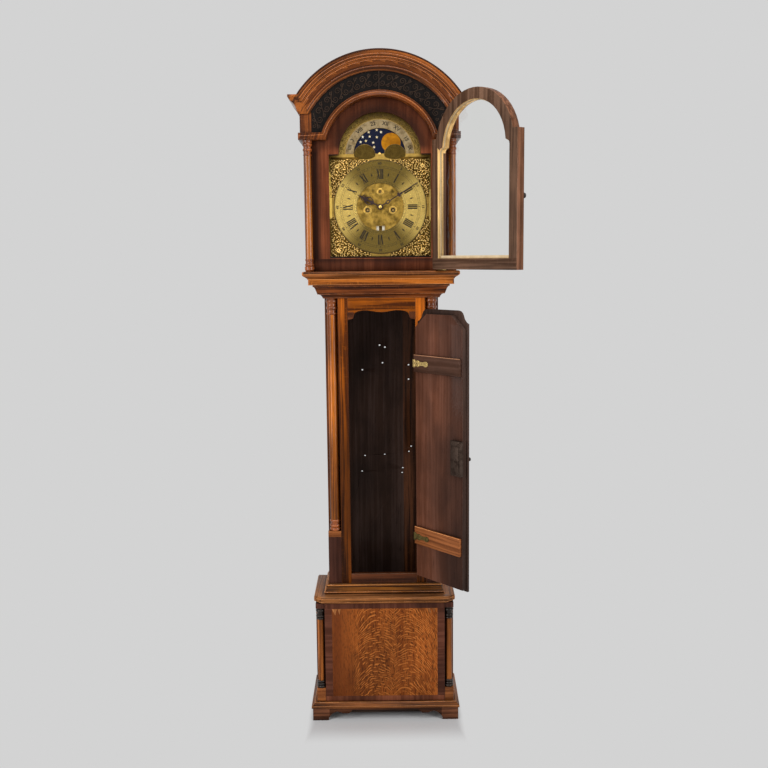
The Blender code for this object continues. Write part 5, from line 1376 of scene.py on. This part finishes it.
HOUR_TURN, MINUTE_TURN = math.radians(298.2), math.radians(57.7)
half = hub(0.0092, 0.0020) + [(0.0020, 0.024), (0.0062, 0.0270), (0.0108, 0.0325), (0.0128, 0.0400),
                              (0.0118, 0.0475),
                              (0.0084, 0.0530), (0.0048, 0.0555), (0.0072, 0.0585), (0.0092, 0.0625),
                              (0.0070, 0.0665),
                              (0.0030, 0.0665), (0.0019, 0.0700), (0.0011, 0.0800), (0.0, 0.0830)]
loops = [both_sides(half), oval(0.0060, 0.0405, 0.0036, 0.0088), oval(-0.0060, 0.0405, 0.0036, 0.0088),
         oval(0.0042, 0.0618, 0.0022, 0.0026), oval(-0.0042, 0.0618, 0.0022, 0.0026)]
hand = sheet("hour_hand_pierced", [placed(loop, HOUR_TURN, DIAL_Z) for loop in loops], -0.1885, 0.0015,
             0.0003)
finished(hand, STEEL_BLUED, "hour", "hour_hand")
half = hub(0.0074, 0.0018) + [(0.0018, 0.020), (0.0046, 0.0232), (0.0060, 0.0290), (0.0046, 0.0350),
                              (0.0018, 0.0382),
                              (0.0017, 0.0670), (0.0062, 0.0685), (0.0078, 0.0715), (0.0062, 0.0745),
                              (0.0017, 0.0760),
                              (0.0030, 0.0810), (0.0016, 0.0860), (0.0013, 0.1400), (0.0, 0.1455)]
loops = [both_sides(half), oval(0.0, 0.0292, 0.0030, 0.0046)]
hand = sheet("minute_hand_pierced", [placed(loop, MINUTE_TURN, DIAL_Z) for loop in loops], -0.1925,
             0.0015, 0.0003)
finished(hand, STEEL_BLUED, "centre", "minute_hand")
collet = lathe("hand_collet", [(0.0, 0.0), (0.0048, 0.0), (0.0050, 0.0005), (0.0040, 0.0012),
                               (0.0024, 0.0016),
                               (0.0016, 0.0020), (0.0, 0.0021)], (0, -0.1925, DIAL_Z), 32, "Y")
finished(collet, BRASS_TURNED, "centre", slot="brass")

# Doors


def shut(piece, pivot, angle):
    return swung(piece, pivot, -angle)


LIGHT_HALF, LIGHT_LOW, LIGHT_TOP = 0.154, 1.5503, 1.876
arch = [around(math.radians(a), 0.138, ARCH_Z) for a in range(-85, 86, 5)]
light = [(-LIGHT_HALF, LIGHT_LOW), (-LIGHT_HALF, LIGHT_TOP), (-0.1525, 1.883), (-0.147, 1.888),
         (-0.1395, 1.8905)] + arch
light += [(0.1395, 1.8905), (0.147, 1.888), (0.1525, 1.883), (LIGHT_HALF, LIGHT_TOP),
          (LIGHT_HALF, LIGHT_LOW)]

door = dress("hood_door_frame", [OAK_HOOD_DOOR, OAK_BEHIND_HOOD_DOOR, OAK_BEHIND_HOOD_RAIL, OAK_REVEAL],
             weld_flat=False)
shut(door, HOOD_PIVOT, HOOD_OPEN)
REBATE, GLASS_Y = 0.0065, -0.2255
for spot, way in (((0, 0, LIGHT_LOW), (0, 0, 1)), ((0, 0, 1.8905), (0, 0, 1)),
                  ((LIGHT_HALF + REBATE, 0, 0), (1, 0, 0)),
                  ((0, GLASS_Y, 0), (0, 1, 0))):
    cut(door, spot, way)


def hood_door_finish(at, way):
    if way.y > 0.6 and LIGHT_HALF < at.x < LIGHT_HALF + REBATE and LIGHT_LOW < at.z < 1.8905:
        return 3
    if way.y > 0.6:
        return 2 if at.z < LIGHT_LOW else 1
    inside = abs(at.x) < LIGHT_HALF + 0.002 and LIGHT_LOW - 0.002 < at.z
    if abs(way.y) < 0.6 and inside and (at.z < 1.892 or math.hypot(at.x, at.z - ARCH_Z) < 0.150):
        return 1 if at.y < GLASS_Y and at.z < LIGHT_TOP else 3
    return 0


painted_by(door, hood_door_finish)
swung(door, HOOD_PIVOT, HOOD_OPEN)
putty = wires("glazing_putty", [[(x, z, 1.0) for x, z in light + light[:1]]], 0.0024, -0.2140)
finished(swung(putty, HOOD_PIVOT, HOOD_OPEN), PUTTY, "hood_door", slot="softwood")
fillet = block("glazing_putty_sill", (-LIGHT_HALF, -0.2152, LIGHT_LOW - 0.001),
               (LIGHT_HALF, -0.2118, LIGHT_LOW + 0.0085), 0.0008)
finished(swung(fillet, HOOD_PIVOT, HOOD_OPEN), PUTTY, "hood_door", slot="softwood")
bead = wires("hood_door_bead", [[(x * 1.018, z + 0.0022 * (1 if z > 1.7 else -1), 1.0) for x,
                                 z in light + light[:1]]], 0.0028,
             -0.2348, 2)
finished(swung(bead, HOOD_PIVOT, HOOD_OPEN), OAK_HOOD_DOOR, "hood_door", slot="oak")
for name in ("hood_pivot_upper", "hood_pivot_lower"):
    dress(name, BRASS_OLD, edge=0.0003)


def knob(node_name, body, pivot, angle, finish):
    """A turned pull on its door, drawn shut and swung with it; the frame's node gives its place and reach."""
    mesh = NODES[node_name].data.copy()
    mesh.transform(Matrix.Translation(pivot) @ Matrix.Rotation(-angle, 4, "Z") @ Matrix.Translation(-pivot))
    spots = [v.co for v in mesh.vertices]
    low = Vector([min(s[k] for s in spots) for k in range(3)])
    high = Vector([max(s[k] for s in spots) for k in range(3)])
    size, long = (high.z - low.z) / 2, high.y - low.y
    profile = [(0.0, 0.0), (0.62 * size, 0.0), (0.62 * size, 0.10 * long), (0.40 * size, 0.18 * long),
               (0.34 * size, 0.34 * long), (0.52 * size, 0.46 * long), (0.86 * size, 0.56 * long),
               (1.0 * size, 0.70 * long), (0.92 * size, 0.84 * long), (0.62 * size, 0.95 * long),
               (0.0, 1.0 * long)]
    pull = lathe(node_name + "_turned", profile, ((low.x + high.x) / 2, high.y, (low.z + high.z) / 2), 32,
                 "Y")
    finished(swung(pull, pivot, angle), finish, body, node_name)
    bpy.data.meshes.remove(mesh)


knob("hood_door_knob", "hood_door", HOOD_PIVOT, HOOD_OPEN, KNOB_BLACK)
knob("trunk_door_knob", "trunk_door", TRUNK_PIVOT, TRUNK_OPEN, KNOB_BLACK)

door = dress("trunk_door", [OAK_DOOR, OAK_BEHIND_DOOR, OAK_DOOR_EDGE_SHADE], edge=0.0014, weld_flat=False)
shut(door, TRUNK_PIVOT, TRUNK_OPEN)
# Painted shade: the door's edges and the back of its lip get dark oak.
painted_by(door, lambda at, way: 1 if way.y > 0.6 and at.y > -0.188 else 0 if way.y < -0.6 else 2)
swung(door, TRUNK_PIVOT, TRUNK_OPEN)
for name, finish, line in (("trunk_batten_upper", OAK_BATTEN_DARK, OAK_BATTEN_LINE),
                           ("trunk_batten_lower", OAK_BATTEN, OAK_BATTEN_PALE)):
    batten = dress(name, [finish, line], edge=0.0020)
    shut(batten, TRUNK_PIVOT, TRUNK_OPEN)
    # Upward edges of the battens are paler: rubbed wear and a painted highlight.
    painted_by(batten, lambda at, way: 1 if way.y > 0.2 and way.z > 0.3 else 0)
    swung(batten, TRUNK_PIVOT, TRUNK_OPEN)


def dome(name, x, y, z, radius, tall):
    """A screw or rivet head on the inner side of a door that is drawn shut."""
    profile = [(0.0, 0.0), (radius, 0.0), (0.92 * radius, 0.45 * tall), (0.6 * radius, 0.85 * tall),
               (0.0, tall)]
    return lathe(name, [(r, -h) for r, h in profile], (x, y, z), 14, "Y")


STRAP = [(0.1075, 0.0130), (0.0985, 0.0130), (0.0950, 0.0092), (0.0915, 0.0082), (0.0875, 0.0112),
         (0.0810, 0.0104),
         (0.0745, 0.0068), (0.0620, 0.0056), (0.0560, 0.0066), (0.0535, 0.0084), (0.0470, 0.0092),
         (0.0410, 0.0074),
         (0.0372, 0.0026)]
for name, z, finish in (("trunk_hinge_upper", 1.213, BRASS_OLD), ("trunk_hinge_lower", 0.634, BRASS_GREEN)):
    hinge = dress(name, finish, edge=0.0003, weld_flat=False)
    shut(hinge, TRUNK_PIVOT, TRUNK_OPEN)
    alone(hinge)
    bpy.ops.object.mode_set(mode="EDIT")
    bpy.ops.mesh.select_all(action="SELECT")
    bpy.ops.mesh.bisect(plane_co=(0.1070, 0, 0), plane_no=(1, 0, 0), use_fill=True, clear_inner=True)
    bpy.ops.object.mode_set(mode="OBJECT")
    outline = [(x, z + tall) for x, tall in STRAP] + [(x, z - tall) for x, tall in reversed(STRAP)]
    leaf = sheet(name + "_leaf", [outline, circle(0.0915, z, 0.0022, 12), circle(0.0675, z, 0.0018, 12)],
                 -0.1686, 0.0016,
                 0.0003)
    heads = [dome("screw", 0.0455, -0.1672, z, 0.0034, 0.0014),
             dome("screw", 0.0820, -0.1672, z + 0.0052, 0.0030, 0.0014),
             dome("screw", 0.0820, -0.1672, z - 0.0052, 0.0030, 0.0014),
             dome("screw", 0.1020, -0.1672, z + 0.0072, 0.0030, 0.0014),
             dome("screw", 0.1020, -0.1672, z - 0.0072, 0.0030, 0.0014)]
    for piece in (leaf, *heads):
        piece.data.materials.append(finish)
    joined(hinge, leaf, *heads)
    swung(hinge, TRUNK_PIVOT, TRUNK_OPEN)

lock = dress("trunk_door_lock", IRON, edge=0.0010)
shut(lock, TRUNK_PIVOT, TRUNK_OPEN)
LOCK_BACK, LOCK_LEFT, LOCK_RIGHT, LOCK_LOW, LOCK_HIGH = -0.1667, -0.106, -0.060, 0.869, 0.981
extras = [block("lock_cover", (LOCK_LEFT + 0.008, LOCK_BACK - 0.0002, LOCK_LOW + 0.016),
                (LOCK_RIGHT - 0.004, LOCK_BACK + 0.0016, LOCK_HIGH - 0.016), 0.0006),
          block("lock_edge", (LOCK_LEFT, LOCK_BACK - 0.0002, LOCK_LOW),
                (LOCK_LEFT + 0.004, LOCK_BACK + 0.0022, LOCK_HIGH), 0.0006)]
for x, z in ((-0.094, 0.877), (-0.068, 0.877), (-0.094, 0.973), (-0.068, 0.973), (-0.075, 0.925)):
    extras.append(dome("lock_rivet", x, LOCK_BACK - 0.0002, z, 0.0028, 0.0016))
extras.append(lathe("lock_keyhole", [(0.0016, 0.0), (0.0048, 0.0), (0.0048, -0.0026), (0.0038, -0.0034),
                                     (0.0022, -0.0034),
                                     (0.0016, -0.0026)], (-0.083, LOCK_BACK, 0.918), 20, "Y", True))
for piece in extras:
    piece.data.materials.append(IRON)
joined(lock, *extras)
lock.data.transform(Matrix.Translation((-0.005, 0, 0)))
swung(lock, TRUNK_PIVOT, TRUNK_OPEN)

# Movement and glass keep the frame's shapes

KEPT_FINISH = {"oak": OAK_CASE, "oak_dark": OAK_BLOCK, "oak_figured": OAK_PANEL, "ebonised": EBONISED,
               "softwood": PINE,
               "brass": BRASS, "bell_metal": BELL_METAL, "blued_steel": STEEL_BLUED, "steel": STEEL,
               "iron": IRON,
               "moon_paint": MOON_SKY, "glass": GLASS}
for name, part in NODES.items():
    for place in part.material_slots:
        place.material = KEPT_FINISH[SLOT[name]]

# Camera, light and floor

camera = bpy.data.objects.new("camera", bpy.data.cameras.new("camera"))
bpy.context.scene.collection.objects.link(camera)
camera.data.sensor_width = 36.0
camera.data.lens = 970.0 / 768.0 * 36.0
camera.matrix_world = (Matrix.Translation((0.006, -3.365,
                                           1.564)) @ Matrix.Rotation(math.radians(90 - 7.6), 4, "X")
                       @ Matrix.Rotation(math.radians(-0.6), 4, "Z"))
bpy.context.scene.camera = camera

PAPER = 0.6515              # the pale grey behind the clock


def softbox(name, at, target, wide, tall, power, colour=(1, 1, 1)):
    lamp = bpy.data.objects.new(name, bpy.data.lights.new(name, "AREA"))
    bpy.context.scene.collection.objects.link(lamp)
    lamp.data.shape = "RECTANGLE"
    lamp.data.size, lamp.data.size_y = wide, tall
    lamp.data.energy = power
    lamp.data.color = colour
    aim = Vector(target) - Vector(at)
    lamp.matrix_world = Matrix.Translation(at) @ aim.to_track_quat("-Z", "Y").to_matrix().to_4x4()


softbox("left softbox", (-2.3, -2.4, 1.7), (0, -0.2, 1.2), 1.1, 2.6, 56)
softbox("right softbox", (2.4, -2.2, 1.7), (0, -0.2, 1.2), 1.1, 2.6, 46)
softbox("overhead softbox", (0, -1.8, 3.6), (0, -0.1, 1.0), 2.2, 1.4, 34)

world = bpy.data.worlds.new("studio")
bpy.context.scene.world = world
world.use_nodes = True
tree = world.node_tree
tree.nodes.clear()
rays = node(tree, "ShaderNodeLightPath").outputs
seen = maths(tree, "MAXIMUM", rays["Is Camera Ray"], maths(tree, "MAXIMUM", rays["Is Glossy Ray"],
                                                           rays["Is Transmission Ray"]))
paper = node(tree, "ShaderNodeBackground", {"Color": (PAPER, PAPER, PAPER, 1), "Strength": 1.0}).outputs[0]
fill = node(tree, "ShaderNodeBackground", {"Color": (0.26, 0.26, 0.27, 1), "Strength": 1.0}).outputs[0]
mix = node(tree, "ShaderNodeMixShader", {0: seen, 1: fill, 2: paper}).outputs[0]
node(tree, "ShaderNodeOutputWorld", {"Surface": mix})

bpy.ops.object.select_all(action="DESELECT")
bpy.ops.mesh.primitive_plane_add(size=14.0, location=(0, 0, -0.0005))
floor = bpy.context.object
floor.name = "floor"
material, tree, shader, at = new_material("pale floor")
parts = axes(tree, at)
sideways = between(tree, maths(tree, "ABSOLUTE", parts[0]), 0.236, 0.266)
forwards = between(tree, times(tree, parts[1], -1.0), 0.29, 0.42)
behind = between(tree, parts[1], -0.03, 0.01)
far = maths(tree, "MAXIMUM", maths(tree, "MAXIMUM", sideways, forwards), behind)
grain = noise(tree, at, scale=3.0, detail=2)
pale = between(tree, grain, 0.3, 0.7, 0.60, 0.62)
tree.links.new(node(tree, "ShaderNodeCombineColor", {0: pale, 1: pale, 2: pale}).outputs[0],
               shader.inputs["Base Color"])
shader.inputs["Roughness"].default_value = 0.9
shader.inputs["Specular IOR Level"].default_value = 0.0
glow = node(tree, "ShaderNodeEmission", {"Color": (PAPER, PAPER, PAPER, 1), "Strength": 1.0}).outputs[0]
open_floor = node(tree, "ShaderNodeMixShader", {0: far, 1: shader.outputs[0], 2: glow}).outputs[0]
tree.links.new(open_floor, tree.nodes["Material Output"].inputs["Surface"])
floor.data.materials.append(material)

bpy.context.scene.view_settings.view_transform = "Standard"
